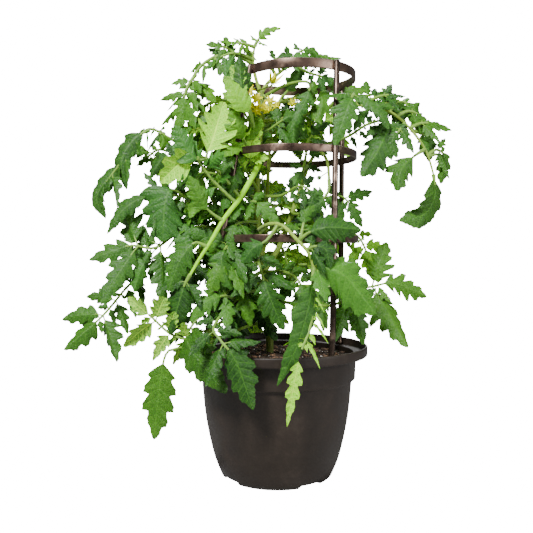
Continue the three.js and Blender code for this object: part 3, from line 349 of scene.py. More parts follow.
# Further leaves, which fill the plant out between those of the part. Those that grow from the trunk are
# drawn with the leaf beside them, which they name.
grow("shoot_top_left",
     leaf([(254, 62, -1), (238, 55, -14), (222, 58, -22), (204, 71, -28)], 34, 2, 30),
     leaf([(222, 56, -14), (215, 61, -22), (221, 69, -28), (233, 79, -30)], 44),
     leaf([(236, 57, -9), (228, 50, -16), (217, 47, -20), (206, 46, -22)], 30, 1, 22),
     leaf([(190, 85, -22), (197, 85, -28), (206, 91, -32), (216, 103, -34)], 46, wide=1),
     leaf([(196, 76, -21), (188, 88, -32), (183, 104, -36), (178, 132, -36)], 58, 2, 34))
grow("leaf_left_upright",
     leaf([(254, 130, -58), (250, 112, -92), (242, 92, -96), (240, 58, -92)],
          62, wide=1.0, look=(0.0, 0.3), cut=0.4),
     leaf([(254, 130, -58), (250, 116, -94), (240, 100, -104), (227, 80, -102)],
          62, wide=1.0, look=(0.7, 0.95), cut=0.6))
grow("leaf_middle_pale",
     leaf([(258, 176, 5), (248, 150, -50), (240, 130, -84), (230, 106, -88)],
          60, 1, 36, wide=1, look=(0.5, 0.6)))
grow("branch_front_left",
     leaf([(207, 159, -84), (197, 158, -106), (180, 164, -112), (160, 183, -114)],
          66, face="away", wide=1.1, colour="pale", look=(0.7, 0.75)),
     leaf([(207, 159, -84), (198, 160, -112), (186, 148, -118), (176, 126, -116)],
          64, wide=1.2, look=(0.8, 0.0)))
grow("leaf_left_upper",
     leaf([(150, 131, 2), (134, 140, -6), (122, 162, -12), (127, 190, -14)],
          112, wide=0.55, look=(0.2, 0.1), cut=0.6),
     leaf([(124, 161, -7), (110, 176, -10), (97, 198, -13), (106, 219, -15)],
          104, wide=0.48, look=(0.2, 0.12), cut=0.6),
     leaf([(160, 133, 6), (163, 137, 2), (164, 142, 0), (161, 151, -2)], 32, wide=1, look=(0.4, 0.4)))
grow("leaf_left_middle",
     leaf([(185, 197, -56), (172, 190, -72), (165, 204, -80), (163, 241, -84)],
          88, wide=1.4, look=(0.5, 0.0), cut=0.8))
grow("leaf_left_behind",
     leaf([(214, 166, 22), (196, 152, 10), (184, 140, -4), (172, 128, -12)], 44, 1, 34, wide=1),
     leaf([(196, 154, 18), (178, 160, -8), (164, 158, -20), (150, 178, -24)], 52, 1, 34))
grow("leaf_left_middle",
     leaf([(216, 206, -30), (206, 190, -62), (200, 192, -78), (190, 218, -86)], 70, 1, 36, wide=1))
grow("leaf_left_lower",
     leaf([(215, 230, -22), (202, 226, -60), (190, 232, -80), (176, 262, -88)], 70, 1, 46))
grow("leaf_left_reaching",
     leaf([(160, 260, -34), (152, 262, -60), (142, 266, -76), (134, 292, -84)], 60, 1, 40),
     leaf([(205, 254, 2), (196, 262, -50), (188, 274, -84), (186, 306, -92)], 72, 1, 44))
grow("leaf_front",
     leaf([(236, 300, -60), (224, 296, -100), (206, 302, -118), (190, 322, -124)], 66, 1, 40))
grow("leaf_middle_cross",
     leaf([(257, 210, 5), (242, 194, -40), (232, 190, -72), (222, 210, -80)], 54, 1, 40, wide=1))
grow("leaf_middle_pale",
     leaf([(257, 190, 5), (244, 168, -40), (232, 158, -78), (222, 176, -84)], 50, 1, 40, wide=1))
grow("leaf_middle_left",
     leaf([(258, 222, 5), (244, 222, -50), (234, 228, -84), (228, 258, -92)], 58, 1, 44),
     leaf([(260, 262, 5), (240, 258, -60), (222, 264, -104), (208, 296, -112)], 62, 1, 44))
grow("leaf_middle_low",
     leaf([(266, 290, 7), (250, 292, -60), (246, 300, -90), (250, 326, -96)], 60, 1, 44))
# These four broad inner leaves have the darkest looks as painted shade in the plant's dense middle.
grow("leaf_middle_left",
     leaf([(262, 262, 5), (248, 270, -20), (232, 282, -30), (212, 320, -34)],
          84, 1, 50, wide=1.2, look=(0.05, 0.0)))
grow("leaf_middle_low",
     leaf([(264, 280, 6), (252, 296, -20), (240, 316, -28), (234, 352, -30)],
          84, 1, 50, wide=1.2, look=(0.05, 0.1)))
grow("leaf_middle_cross",
     leaf([(256, 212, 5), (244, 212, -20), (230, 222, -28), (210, 246, -30)],
          72, wide=1.3, look=(0.05, 0.1)))
grow("leaf_middle_pale",
     leaf([(258, 164, 5), (246, 164, -20), (234, 174, -28), (218, 202, -30)],
          72, wide=1.3, look=(0.1, 0.1)))
grow("stem_back",
     leaf([(272, 128, 33), (284, 116, 30), (300, 112, 26), (314, 122, 24)], 44, 2, 34),
     leaf([(269, 158, 40), (252, 146, 30), (240, 140, 24), (232, 158, 20)], 54, 2, 38),
     leaf([(266, 238, 36), (276, 244, 30), (284, 252, 28), (289, 276, 26)],
          16, 3, 15, wide=0.6, colour="pale"),
     leaf([(264, 245, 21), (278, 236, 44), (292, 232, 46), (299, 254, 44)],
          18, 3, 16, wide=0.6, colour="pale"))
grow("stem_right",
     leaf([(290, 214, 24), (300, 214, 4), (312, 212, -10), (322, 226, -14)], 48, 1, 32, wide=1))
grow("branch_right",
     leaf([(300, 115, -24), (312, 104, -50), (322, 100, -60), (318, 124, -66)], 54, 1, 34),
     leaf([(352, 106, -57), (364, 98, -48), (378, 96, -44), (388, 108, -42)], 38, 2, 28, look=(0.35, 0.2)),
     leaf([(374, 108, -59), (386, 104, -50), (398, 108, -46), (402, 128, -44)],
          42, 1, 32, wide=1, look=(0.25, 0.2)),
     leaf([(396, 117, -60), (408, 112, -52), (420, 118, -48), (424, 136, -46)],
          40, 1, 30, wide=1, look=(0.35, 0.25)),
     leaf([(404, 124, -62), (398, 132, -76), (392, 140, -80), (396, 158, -82)],
          46, 1, 28, wide=1, look=(0.2, 0.15)),
     leaf([(427, 156, -58), (436, 150, -50), (444, 158, -46), (440, 184, -44)],
          52, 1, 28, look=(0.3, 0.25)),
     leaf([(382, 110, -60), (392, 106, -46), (404, 110, -40), (416, 122, -38)],
          44, 1, 30, wide=1, look=(0.35, 0.2)),
     leaf([(362, 106, -60), (370, 110, -78), (380, 114, -84), (388, 130, -84)],
          44, 1, 30, wide=1, look=(0.3, 0.15)),
     leaf([(411, 131, -60), (420, 134, -46), (428, 140, -42), (430, 160, -40)],
          44, 1, 30, wide=1, look=(0.35, 0.2)),
     leaf([(328, 109, -48), (338, 99, -60), (350, 92, -64), (366, 92, -64)], 40, 1, 28))
grow("shoot_top_right",
     leaf([(276, 77, 24), (271, 66, 12), (280, 58, 6), (294, 56, 4)], 30, 1, 20),
     leaf([(284, 71, 33), (288, 62, 22), (298, 57, 16), (310, 60, 12)], 32, 1, 22),
     leaf([(292, 66, 41), (306, 59, 50), (318, 57, 54), (337, 61, 56)], 38, 1, 22, wide=0.8),
     leaf([(293, 66, 42), (308, 74, 58), (322, 78, 64), (340, 87, 66)], 40, 1, 26))
grow("stem_back",
     leaf([(276, 112, 28), (284, 96, 40), (290, 88, 50), (297, 69, 56)], 50, look=(0.25, 0.3)))
grow("stem_front",
     leaf([(306, 250, -144), (316, 246, -152), (326, 250, -154), (330, 268, -154)], 44, 1, 30, wide=1))

# Leaves all round the trunk: the leaf each is drawn with, the height it grows from, the direction it takes
# seen from above (0 to the front, 90 to the right) and its reach.
ROUND_LEAVES = [
    ("leaf_left_lower", 300, 262, 165), ("leaf_left_reaching", 320, 288, 150),
    ("leaf_left_lower", 370, 250, 170), ("leaf_left_middle", 385, 276, 190),
    ("leaf_left_reaching", 400, 300, 165), ("leaf_left_middle", 440, 262, 180),
    ("leaf_left_behind", 460, 290, 170), ("leaf_left_behind", 480, 240, 150),
    ("leaf_left_upper", 520, 272, 165), ("leaf_left_upper", 545, 252, 150),
    ("leaf_left_arching", 565, 292, 150), ("leaf_left_arching", 600, 262, 130),
    ("leaf_right_low", 320, 108, 135), ("leaf_right_out", 390, 95, 120),
    ("leaf_right_back", 400, 132, 150), ("leaf_right_middle", 430, 112, 130),
    ("leaf_right_middle", 585, 95, 105), ("leaf_right_upper", 565, 128, 135),
    ("leaf_right_upper", 610, 100, 115), ("leaf_back_foot", 330, 160, 160),
    ("leaf_back_left_low", 380, 208, 165), ("leaf_back_middle", 405, 178, 160),
    ("leaf_back_right_high", 570, 150, 150), ("leaf_back_left_high", 520, 212, 155),
    ("leaf_back_high", 590, 176, 135), ("leaf_back_high", 605, 224, 125),
]
# Their path out and up, their end leaflet, their pairs and side leaflets as shares of their reach, how far
# up they face, how broad they are and how they hang.
ROUND_STEPS = [(0, 0), (0.35, 0.22), (0.7, 0.2), (1, -0.16)]
ROUND_BLADE = 0.42
ROUND_PAIRS = 2
ROUND_LEAFLET = 0.27
ROUND_LIFT = 0.6
ROUND_WIDE = 0.95
ROUND_HANG = 0.1

# Flower trusses: a stalk, blooms (place, how far they open, where they look) on short stalks, and twins,
# which stand close beside a bloom and are drawn with it.
TRUSSES = {
    "truss_left": dict(
        path=[(261, 104, 5), (257, 98, -14), (258, 92, -28), (264, 90, -38)],
        twins={1: ((257, 99, -38), 8, (-0.1, -1, -0.3)), 3: ((257, 111, -40), 8, (-0.4, -1, -0.6)),
               4: ((268, 110, -44), 8, (0.3, -1, -0.8)), 5: ((276, 107, -44), 8, (0.7, -0.8, -0.4))},
        blooms=[((250, 91, -34), 9, (-0.5, -1, 0.2)), ((246, 99, -25), 8, (-0.9, -0.9, -0.2)),
                ((252, 107, -34), 8, (-0.3, -0.8, -1)), ((262, 108, -40), 9, (0, -1, -0.9)),
                ((270, 102, -44), 8, (0.5, -1, -0.5)), ((272, 84, -44), 10, (0.6, -0.7, 0.9))],
    ),
    "truss_right": dict(
        path=[(262, 108, 5), (278, 104, -26), (290, 99, -40), (297, 97, -46)], twins={},
        blooms=[((305, 101, -50), 8, (0.7, -1, -0.3)), ((293, 104, -50), 7, (-0.2, -1, -0.8))],
    ),
}
CLOSED_BLOOM = "truss_left_bloom_6"
FRUIT_AT = (319, 178, -8)
FRUIT_STALK_FROM = (328, 172, 1)

UP = np.array([0.0, 0.0, 1.0])
# How far apart the waves of two seeds and of two counts lie, and what makes a fixed draw of them.
SEED_STEP = 12.9898
COUNT_STEP = 78.233
DRAW_SCALE = 43758.5453
# A rod's rounded ends stand out by this share of its radius.
END_BULGE = 0.4


# ---------------------------------------------------------------- lines, draws and meshes


def draw(seed, count):
    """A fixed draw between -1 and 1 for a leaf and a count within it."""
    wave = math.sin(seed * SEED_STEP + count * COUNT_STEP) * DRAW_SCALE
    return (wave - math.floor(wave)) * 2 - 1


def unit(vectors):
    return vectors / np.linalg.norm(vectors, axis=-1, keepdims=True)


def seen(points):
    """The places of points of the front view."""
    across, down, depth = np.array(points, float).T
    scale = (VIEW_DISTANCE + depth) / VIEW_FOCAL
    x = VIEW_SIDE + (across - VIEW_MIDDLE) * scale
    z = VIEW_HEIGHT - (down - VIEW_HORIZON) * scale
    return np.stack([x, depth, z], axis=-1)


class SmoothLine:
    """A smooth line through points, which runs on straight past both ends."""

    def __init__(self, points):
        points = np.array(points, float)
        ends = np.vstack([points[:1], points, points[-1:]])
        share = np.arange(SPAN_STEPS)[:, None] / SPAN_STEPS
        spans = [self.span(ends[i - 1:i + 3], share) for i in range(1, len(ends) - 2)]
        self.places = np.vstack([*spans, points[-1:]])
        steps = np.linalg.norm(np.diff(self.places, axis=0), axis=1)
        self.reach = np.concatenate([[0], np.cumsum(steps)])
        self.length = self.reach[-1]

    @staticmethod
    def span(four, t):
        a, b, c, d = four
        return 0.5 * (2 * b + (c - a) * t + (2 * a - 5 * b + 4 * c - d) * t**2
                      + (3 * b - a - 3 * c + d) * t**3)

    def at(self, distances):
        distances = np.asarray(distances, float)
        after = np.clip(np.searchsorted(self.reach, distances), 1, len(self.reach) - 1)
        from_, to = self.places[after - 1], self.places[after]
        share = (distances - self.reach[after - 1]) / (self.reach[after] - self.reach[after - 1])
        return from_ + (to - from_) * share[..., None]

    def along(self, distances):
        distances = np.asarray(distances, float)
        return unit(self.at(distances + 1) - self.at(distances - 1))


class Shape:
    """A mesh in the making: points in millimetres with the marks that their finish reads, and faces."""

    def __init__(self):
        self.points, self.marks, self.tints = [], [], []
        self.faces, self.finishes = [], []
        self.count = 0

    def add(self, points, faces, finish, marks=None, tint=(0.5, 0.5)):
        points = np.asarray(points, float).reshape(-1, 3)
        self.points.append(points)
        self.marks.append(np.zeros((len(points), 2)) if marks is None else np.reshape(marks, (-1, 2)))
        self.tints.append(np.broadcast_to(np.asarray(tint, float), (len(points), 2)))
        for part, name in zip(faces, [finish] if isinstance(finish, str) else finish):
            self.faces.extend((np.asarray(part) + self.count).tolist())
            self.finishes.extend([name] * len(part))
        self.count += len(points)


def grid_faces(rows, columns, closed=False):
    """The faces between the rows of a grid of points. A closed grid's last column joins its first."""
    row = np.arange(rows - 1)[:, None] * columns
    column = np.arange(columns if closed else columns - 1)[None, :]
    after = (column + 1) % columns
    corners = [row + column, row + after, row + after + columns, row + column + columns]
    return np.stack(corners, axis=-1).reshape(-1, 4)


def make_piece(name, shape, replaces, sharp=50):
    """Makes the shape's mesh, with its finishes, as a piece of the plant."""
    mesh = bpy.data.meshes.new(name)
    mesh.from_pydata((np.vstack(shape.points) * MM).tolist(), [], shape.faces)
    finishes = sorted(set(shape.finishes))
    for finish in finishes:
        mesh.materials.append(MATERIALS[finish])
    numbers = {finish: i for i, finish in enumerate(finishes)}
    mesh.polygons.foreach_set("material_index", [numbers[finish] for finish in shape.finishes])
    mesh.polygons.foreach_set("use_smooth", [True] * len(mesh.polygons))
    corners = np.zeros(len(mesh.loops), int)
    mesh.loops.foreach_get("vertex_index", corners)
    marks = mesh.uv_layers.new(name="marks")
    marks.uv.foreach_set("vector", np.vstack(shape.marks)[corners].ravel())
    tints = np.vstack(shape.tints)
    colours = np.column_stack([tints, np.zeros(len(tints)), np.ones(len(tints))])
    mesh.color_attributes.new("tint", "FLOAT_COLOR", "POINT").data.foreach_set("color", colours.ravel())
    mesh.update()
    mesh.set_sharp_from_angle(angle=math.radians(sharp))
    piece = bpy.data.objects.new(name, mesh)
    bpy.context.collection.objects.link(piece)
    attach(piece, "root")
    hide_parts(*replaces)


def add_rod(shape, line, ends, radii, sides, step, finish, tint=(0.5, 0.5), rough=0.0, seed=1):
    """A round rod between two distances on a line, thinning from one radius to another."""
    start, stop = ends
    rings = max(int(math.ceil((stop - start) / step)), 1) + 1
    share = np.linspace(0, 1, rings)
    distances = start + (stop - start) * share
    middles, along = line.at(distances), line.along(distances)
    radius = radii[0] + (radii[1] - radii[0]) * share
    radius = radius * (1 + rough * np.array([draw(seed, 300 + i) for i in range(rings)]))
    across = np.zeros((rings, 3))
    last = np.array([1, 0.2, 0.1])
    for i in range(rings):
        last = unit(last - along[i] * (last @ along[i]))
        across[i] = last
    other = np.cross(along, across)
    turn = 2 * math.pi * np.arange(sides) / sides
    reach = radius[:, None, None]
    around = across[:, None] * np.cos(turn)[None, :, None] + other[:, None] * np.sin(turn)[None, :, None]
    points = (middles[:, None] + reach * around).reshape(-1, 3)
    caps = np.vstack([middles[:1] - along[:1] * radius[0] * END_BULGE,
                      middles[-1:] + along[-1:] * radius[-1] * END_BULGE])
    k = np.arange(sides)
    foot, tip = rings * sides, rings * sides + 1
    low = np.stack([np.full(sides, foot), (k + 1) % sides, k], axis=-1)
    top = (rings - 1) * sides
    high = np.stack([np.full(sides, tip), top + k, top + (k + 1) % sides], axis=-1)
    marks = np.zeros((len(points) + 2, 2))
    marks[:-2, 0] = np.repeat(distances, sides)
    marks[:-2, 1] = np.tile(k / sides, rings)
    faces = [grid_faces(rings, sides, closed=True), low, high]
    shape.add(np.vstack([points, caps]), faces, [finish] * 3, marks, tint)


def add_sheet(shape, upper, lower, finishes, marks, tint):
    """A thin closed sheet between two grids of points."""
    rows, columns = upper.shape[:2]
    count = rows * columns
    index = np.arange(count).reshape(rows, columns)
    top = grid_faces(rows, columns)
    rim = np.concatenate([index[0, :-1], index[:-1, -1], index[-1, :0:-1], index[:0:-1, 0]])
    after = np.roll(rim, -1)
    wall = np.stack([after, rim, rim + count, after + count], axis=-1)
    points = np.vstack([upper.reshape(-1, 3), lower.reshape(-1, 3)])
    above, below = finishes
    both = np.concatenate([marks.reshape(-1, 2)] * 2)
    shape.add(points, [top, top[:, [0, 3, 2, 1]] + count, wall], [above, below, above], both, tint)


def cross_axes(along, face):
    """The upward and sideways directions of a leaf where it runs along a direction."""
    normal = unit(face - along * (along @ face)[..., None])
    return normal, np.cross(along, normal)


# ---------------------------------------------------------------- leaves

# How far to both sides of a point a rib's direction is measured, as a share of its length.
NEAR = 0.02
# Where a leaflet's points stand from its one edge over its rib to the other, if it is large or small.
COLUMNS = np.array([-1, -0.8, -0.55, -0.3, -0.08, 0, 0.08, 0.3, 0.55, 0.8, 1])
FEW_COLUMNS = np.array([-1, -0.7, -0.35, 0, 0.35, 0.7, 1])
# The teeth of a lobe, the rows of points of a tooth, and where on the rib the last full lobe ends.
TEETH = 3
ROWS_PER_TOOTH = 4
LOBES_END = 0.8
# A leaflet's thickness, how much thinner it gets to its edge, how much thicker its rib is and how much of
# that is gone at its tip. A side leaflet's stalk is a share of its length, and each faces a little apart.
LEAF_THICK = 0.42
THINNER_EDGE = 0.45
RIB_THICK = 0.5
THINNER_TIP = 0.8
LEAFLET_FOOT = 0.1
FACE_SPREAD = 0.58
# Above each of these lengths a leaflet has one lobe more on each side.
LOBE_LENGTHS = (16, 32, 70)
# A leaflet's outline: how full it is, over which share it widens from its foot, how it narrows to its
# tip, and how its lobes crowd, shift, lean, round off, shrink and differ. Its teeth lean too.
BODY_FULL = 1.24
BODY_FOOT = 0.07
BODY_TAPER = 0.86
LOBE_CROWDING = 0.85
LOBE_SHIFT = 0.16
LOBE_LEAN = 1.25
LOBE_ROUND = 2.4
LOBE_FADE = 0.7
LOBE_SPREAD = 0.16
TOOTH_LEAN = 1.4
TOOTH_DEPTH = 0.1
# How deep its lobes are cut, how it twists, how its side veins lean forward at its foot and how much
# more at its tip, and how its skin puckers between them, droops to the edge and waves there.
CUT_DEPTH = 0.66
CUT_SPREAD = 0.16
TWIST_DEGREES = 16
VEIN_LEAN = 26
TIP_LEAN = 24
PUCKER = 0.05
EDGE_DROOP = 0.22
WAVE = 0.07
WAVE_SPREAD = 0.03
# Its swellings, up to this height: two waves, each with its length, the length of the wave that bends it,
# and how far that bends it. Near the rib they are low.
SWELLING = 0.7
SWELL_ALONG = (2.9, 3.7, 1.7)
SWELL_ACROSS = (2.3, 4.1, 1.3)
RIB_CALM = 3
# A side leaflet's own stalk: its radius, what that grows by with the leaflet, and its share at the blade.
THIN_STALK = 0.45
THICKER_PER_MM = 0.012
STALK_TAPER = 0.7
# The drawn leaflets are this much broader than the part's plain ones, and the side ones this much longer.
BROADER = 1.2
LONGER = 1.3
# The share of a leaf's fullness that goes into its end leaflet's length.
END_GROWTH = 0.5
# How much thicker the drawn stalks are than the part's, and how round, fine and uneven.
STALK_GROWTH = 1.8
STALK_SIDES = 8
STALK_STEP = 8
STALK_ROUGHNESS = 0.05
# A leaf's brightness and youth where it has no look of its own, and how much they differ.
TONE, TONE_SPREAD = 0.42, 0.4
YOUTH, YOUTH_SPREAD = 0.26, 0.26
PALE_YOUTH = 0.8
# The small leaflets between two pairs: their length as a share of the longest, their place between the
# pairs, their angle to the stalk, and how they hang.
BETWEEN_SIZE = (0.3, 0.5)
BETWEEN_PLACE = (0.4, 0.62)
BETWEEN_ANGLE = (55, 80)
BETWEEN_HANG = (0.1, 0.4)
SMALL_WIDE = 1.1
# The further pairs down a long stalk: their distance, length, shift, angle and hang, how much each is
# shorter than the last, and where they end. The smallest leaflets stand above each.
LOWER_STEP = (0.9, 1.1)
LOWER_SIZE = (0.68, 0.9)
LOWER_SHIFT = (-3, 3)
LOWER_ANGLE = (58, 78)
LOWER_HANG = (0.15, 0.45)
LOWER_SHRINK = 0.1
LOWEST_SHARE = 0.3
LOWEST_PLACE = 26
MOST_PAIRS = 5
SMALLEST_SIZE = (0.18, 0.3)
SMALLEST_ABOVE = 0.3
SMALLEST_HANG = 0.3
# The small leaflets' own seeds are drawn from this many.
SEEDS = 900


def lobe_count(length):
    return 1 + sum(length > limit for limit in LOBE_LENGTHS)


def leaflet_reach(shares, lobes, depth, hand, seed):
    """A leaflet's half width along its rib, as a share of its greatest, and the count of its lobes."""
    shares = np.clip(shares, 0, 1)
    body = BODY_FULL * (1 - np.exp(-shares / BODY_FOOT)) * (1 - shares)**BODY_TAPER
    turn = lobes * (shares / LOBES_END)**LOBE_CROWDING + LOBE_SHIFT * draw(seed, 70 + hand)
    off = np.abs(2 * (turn % 1)**LOBE_LEAN - 1)
    near = 0.8 * (1 - off**LOBE_ROUND) + 0.2 * (1 - off)
    peak = 1 + LOBE_SPREAD * np.array([draw(seed, 90 + 5 * hand + math.floor(t)) for t in turn])
    notch = 1 - depth * (1 - shares)**LOBE_FADE
    lobe = notch + (peak - notch) * near
    tooth = 1 - np.abs(2 * ((turn * TEETH + 0.5) % 1)**TOOTH_LEAN - 1)
    return body * lobe * (1 - TOOTH_DEPTH * (1 - tooth)), turn


def uneven(along, across, seed):
    """The irregular swellings of a leaflet, from where a point lies on it."""
    wave, bend, reach = SWELL_ALONG
    first = np.sin(along / wave + reach * np.sin(across / bend + seed) + 2 * seed)
    wave, bend, reach = SWELL_ACROSS
    second = np.sin(across / wave + reach * np.sin(along / bend + 3 * seed) + seed)
    return SWELLING * first * second * np.minimum(np.abs(across) / RIB_CALM, 1)


def twisted_axes(along, face, shares, seed):
    """The upward and sideways directions along a leaflet's rib, turned more and more towards its tip."""
    twist = math.radians(TWIST_DEGREES * draw(seed, 61)) * shares
    normal, side = cross_axes(along, np.asarray(face, float))
    turned = normal * np.cos(twist)[:, None] + side * np.sin(twist)[:, None]
    return turned, side * np.cos(twist)[:, None] - normal * np.sin(twist)[:, None]


def add_leaflet(shape, place, length, face, half_width, seed, tint, cut=1.0):
    """A leaflet whose rib follows "place": lobed and toothed, folded along its rib, puckered between its
    veins and waved at its edge."""
    lobes = lobe_count(length)
    columns = COLUMNS if lobes > 2 else FEW_COLUMNS
    shares = np.linspace(0, 1, lobes * TEETH * ROWS_PER_TOOTH + 1)
    middles = place(shares)
    along = unit(place(shares + NEAR) - place(shares - NEAR))
    normal, side = twisted_axes(along, face, shares, seed)
    fold = math.tan(math.radians(FOLD_DEGREES + FOLD_SPREAD * draw(seed, 1)))
    depth = cut * (CUT_DEPTH + CUT_SPREAD * draw(seed, 62))
    lean = np.tan(np.radians(VEIN_LEAN + TIP_LEAN * shares))
    points = np.zeros((len(shares), len(columns), 3))
    marks = np.zeros((len(shares), len(columns), 2))
    wave_size = WAVE + WAVE_SPREAD * draw(seed, 64)
    for column, across in enumerate(columns):
        hand = -1 if across < 0 else 1
        out = abs(across)
        reach, turn = leaflet_reach(shares, lobes, depth, hand, seed)
        width = BROADER * half_width * reach
        pucker = -np.cos(4 * math.pi * turn) * PUCKER * width * out * (1 - out**2)
        pucker = pucker + uneven(shares * length, across * width, seed)
        phase = 2 * math.pi * turn + 3 * draw(seed, 80 + hand)
        wave = wave_size * half_width * out**2 * reach * np.sin(phase)
        lift = fold * width * out - EDGE_DROOP * width * out**2 + pucker + wave
        points[:, column] = (
            middles + side * (across * width)[:, None] + along * (out * width * lean)[:, None]
            + normal * lift[:, None]
        )
        marks[:, column, 0] = 2 * turn
        marks[:, column, 1] = across
    half = LEAF_THICK / 2 * (1 - THINNER_EDGE * np.abs(columns))
    rib = np.where(columns == 0, RIB_THICK, 0)[None, :] * (1 - THINNER_TIP * shares)[:, None]
    upper = points + normal[:, None] * half[None, :, None]
    lower = points - normal[:, None] * (half[None, :] + rib)[..., None]
    add_sheet(shape, upper, lower, ("leaf_top", "leaf_under"), marks, tint)


def pair_places(form, start, seed):
    """Where the pairs of side leaflets stand on the stalk; the pair next to the end leaflet is first."""
    places = []
    for pair in range(form["pairs"]):
        below = PAIR_SPACING * form["leaflet"] * (FIRST_PAIR + pair)
        distance = start - below + PAIR_SPREAD * draw(seed, 30 + pair)
        places.append(max(distance, (LOWEST_PAIR - LOWER_PER_PAIR * pair) * start))
    return places


def add_side_leaflet(shape, line, distance, face, length, angle, droop, hand, wide, seed, tint):
    """A side leaflet on its own short stalk, which leaves the leaf's stalk at an angle and hangs."""
    along = line.along(distance)
    _, side = cross_axes(along, face)
    face = unit(face + FACE_SPREAD * (draw(seed, 66) * side + draw(seed, 67) * along))
    heading = along * math.cos(angle) + side * hand * math.sin(angle)
    root = line.at(distance)

    def place(share):
        share = np.asarray(share, float)[..., None]
        return root + heading * length * share - UP * droop * share * share

    def blade(share):
        return place(LEAFLET_FOOT + (1 - LEAFLET_FOOT) * np.asarray(share, float))

    foot = SmoothLine(place(np.array([0, LEAFLET_FOOT, 2 * LEAFLET_FOOT])))
    thick = THIN_STALK + THICKER_PER_MM * length
    add_rod(shape, foot, (0, foot.length), (thick, STALK_TAPER * thick), 6, 3, "stalk", tint)
    add_leaflet(shape, blade, length, face, SIDE_HALF_WIDTH * length * wide, seed, tint)


def add_leaf(shape, form, seed):
    """A whole leaf: its stalk, its end leaflet, its side leaflets and the small ones between them."""
    line = SmoothLine(form["places"] if "places" in form else seen(form["path"]))
    blade = form["blade"]
    start = max(line.length - blade, STALK_END)
    face = unit(np.array(form["face"], float))
    youth = PALE_YOUTH if form["colour"] == "pale" else YOUTH + YOUTH_SPREAD * draw(seed, 91)
    tint = form["look"] or (TONE + TONE_SPREAD * draw(seed, 90), youth)
    thick = (STALK_GROWTH * STALK_ROOT, STALK_GROWTH * STALK_END)
    add_rod(shape, line, (0, start + 2), thick, STALK_SIDES, STALK_STEP, "stalk", tint,
            STALK_ROUGHNESS, seed)
    longer = blade * (1 + END_GROWTH * (form["full"] - 1))
    first = max(line.length - longer, STALK_END)

    def end_place(share):
        return line.at(first + np.asarray(share, float) * (line.length - first))

    half_width = END_HALF_WIDTH * longer * form["wide"]
    add_leaflet(shape, end_place, longer, face, half_width, seed, tint, form["cut"])
    pairs = pair_places(form, start, seed)
    for pair, distance in enumerate(pairs):
        for hand in (-1, 1):
            count = 40 + 10 * pair + 3 * hand
            angle = math.radians(LEAFLET_ANGLE + ANGLE_SPREAD * draw(seed, count + 1))
            longest = form["leaflet"] * (1 - SHORTER_PER_PAIR * pair)
            length = LONGER * form["full"] * longest * (1 + LENGTH_SPREAD * draw(seed, count + 2))
            droop = length * (DROOP + form["hang"] + DROOP_SPREAD * draw(seed, count + 3))
            add_side_leaflet(shape, line, distance, face, length, angle, droop, hand, form["wide"],
                             seed + count, tint)
    add_small_leaflets(shape, form, line, start, pairs, face, seed, tint)


def list_round_leaves():
    """Lists the leaves all round the trunk, each with its places in millimetres."""
    trunk = SmoothLine(seen(STEMS["trunk"]["path"]))
    for on, height, degrees, reach in ROUND_LEAVES:
        turn = math.radians(degrees)
        out = np.array([math.sin(turn), -math.cos(turn), 0])
        root = trunk.places[np.argmin(np.abs(trunk.places[:, 2] - height))]
        places = [root + reach * (out * far + UP * rise) for far, rise in ROUND_STEPS]
        form = leaf(None, ROUND_BLADE * reach, ROUND_PAIRS, ROUND_LEAFLET * reach, wide=ROUND_WIDE,
                    hang=ROUND_HANG)
        LEAVES.append(dict(form, on=on, places=places, face=out + UP * ROUND_LIFT))


def add_small_leaflets(shape, form, line, start, pairs, face, seed, tint):
    """The small leaflets between the pairs, and the pairs below them on a long stalk."""
    chance = random.Random(1000 + seed)
    if not pairs:
        return
    leaflet = form["leaflet"] * form["full"]
    stops = [start, *pairs]
    for above, below in zip(stops, stops[1:]):
        for hand in (-1, 1):
            size = leaflet * chance.uniform(*BETWEEN_SIZE)
            spot = below + (above - below) * chance.uniform(*BETWEEN_PLACE)
            angle = math.radians(chance.uniform(*BETWEEN_ANGLE))
            droop = size * (form["hang"] + chance.uniform(*BETWEEN_HANG))
            add_side_leaflet(shape, line, spot, face, size, angle, droop, hand, SMALL_WIDE,
                             seed + chance.randrange(SEEDS), tint)
    distance, pair = pairs[-1], len(pairs)
    while distance - PAIR_SPACING * leaflet > max(LOWEST_SHARE * start, LOWEST_PLACE) and pair < MOST_PAIRS:
        distance -= PAIR_SPACING * leaflet * chance.uniform(*LOWER_STEP)
        for hand in (-1, 1):
            size = LONGER * leaflet * chance.uniform(*LOWER_SIZE) * (1 - LOWER_SHRINK * pair)
            spot = distance + chance.uniform(*LOWER_SHIFT)
            angle = math.radians(chance.uniform(*LOWER_ANGLE))
            droop = size * (form["hang"] + chance.uniform(*LOWER_HANG))
            add_side_leaflet(shape, line, spot, face, size, angle, droop, hand, form["wide"],
                             seed + chance.randrange(SEEDS), tint)
            small = leaflet * chance.uniform(*SMALLEST_SIZE)
            angle = math.radians(chance.uniform(*BETWEEN_ANGLE))
            add_side_leaflet(shape, line, distance + SMALLEST_ABOVE * leaflet, face, small, angle,
                             small * SMALLEST_HANG, hand, SMALL_WIDE, seed + chance.randrange(SEEDS), tint)
        pair += 1


# ---------------------------------------------------------------- stems, fruit and flowers


# Hairs: how many stand on a millimetre of stem and how long they are, how thick and three-sided they are,
# how deep they stand in the skin, how far they lean along it, and between which shares their length is.
# A bloom's stalk swells by a share towards the bloom.
STEM_HAIRS = (1.2, 1.1)
TRUSS_HAIRS = (4, 1)
BLOOM_HAIRS = (5, 1)
PEDICEL_SWELLING = 1.2
HAIR_RADIUS = 0.09
HAIR_CORNERS = ((1, 0), (-0.5, 0.87), (-0.5, -0.87))
HAIR_ROOT = 0.2
HAIR_LEAN = 0.3
HAIR_LENGTHS = (0.6, 1.2)
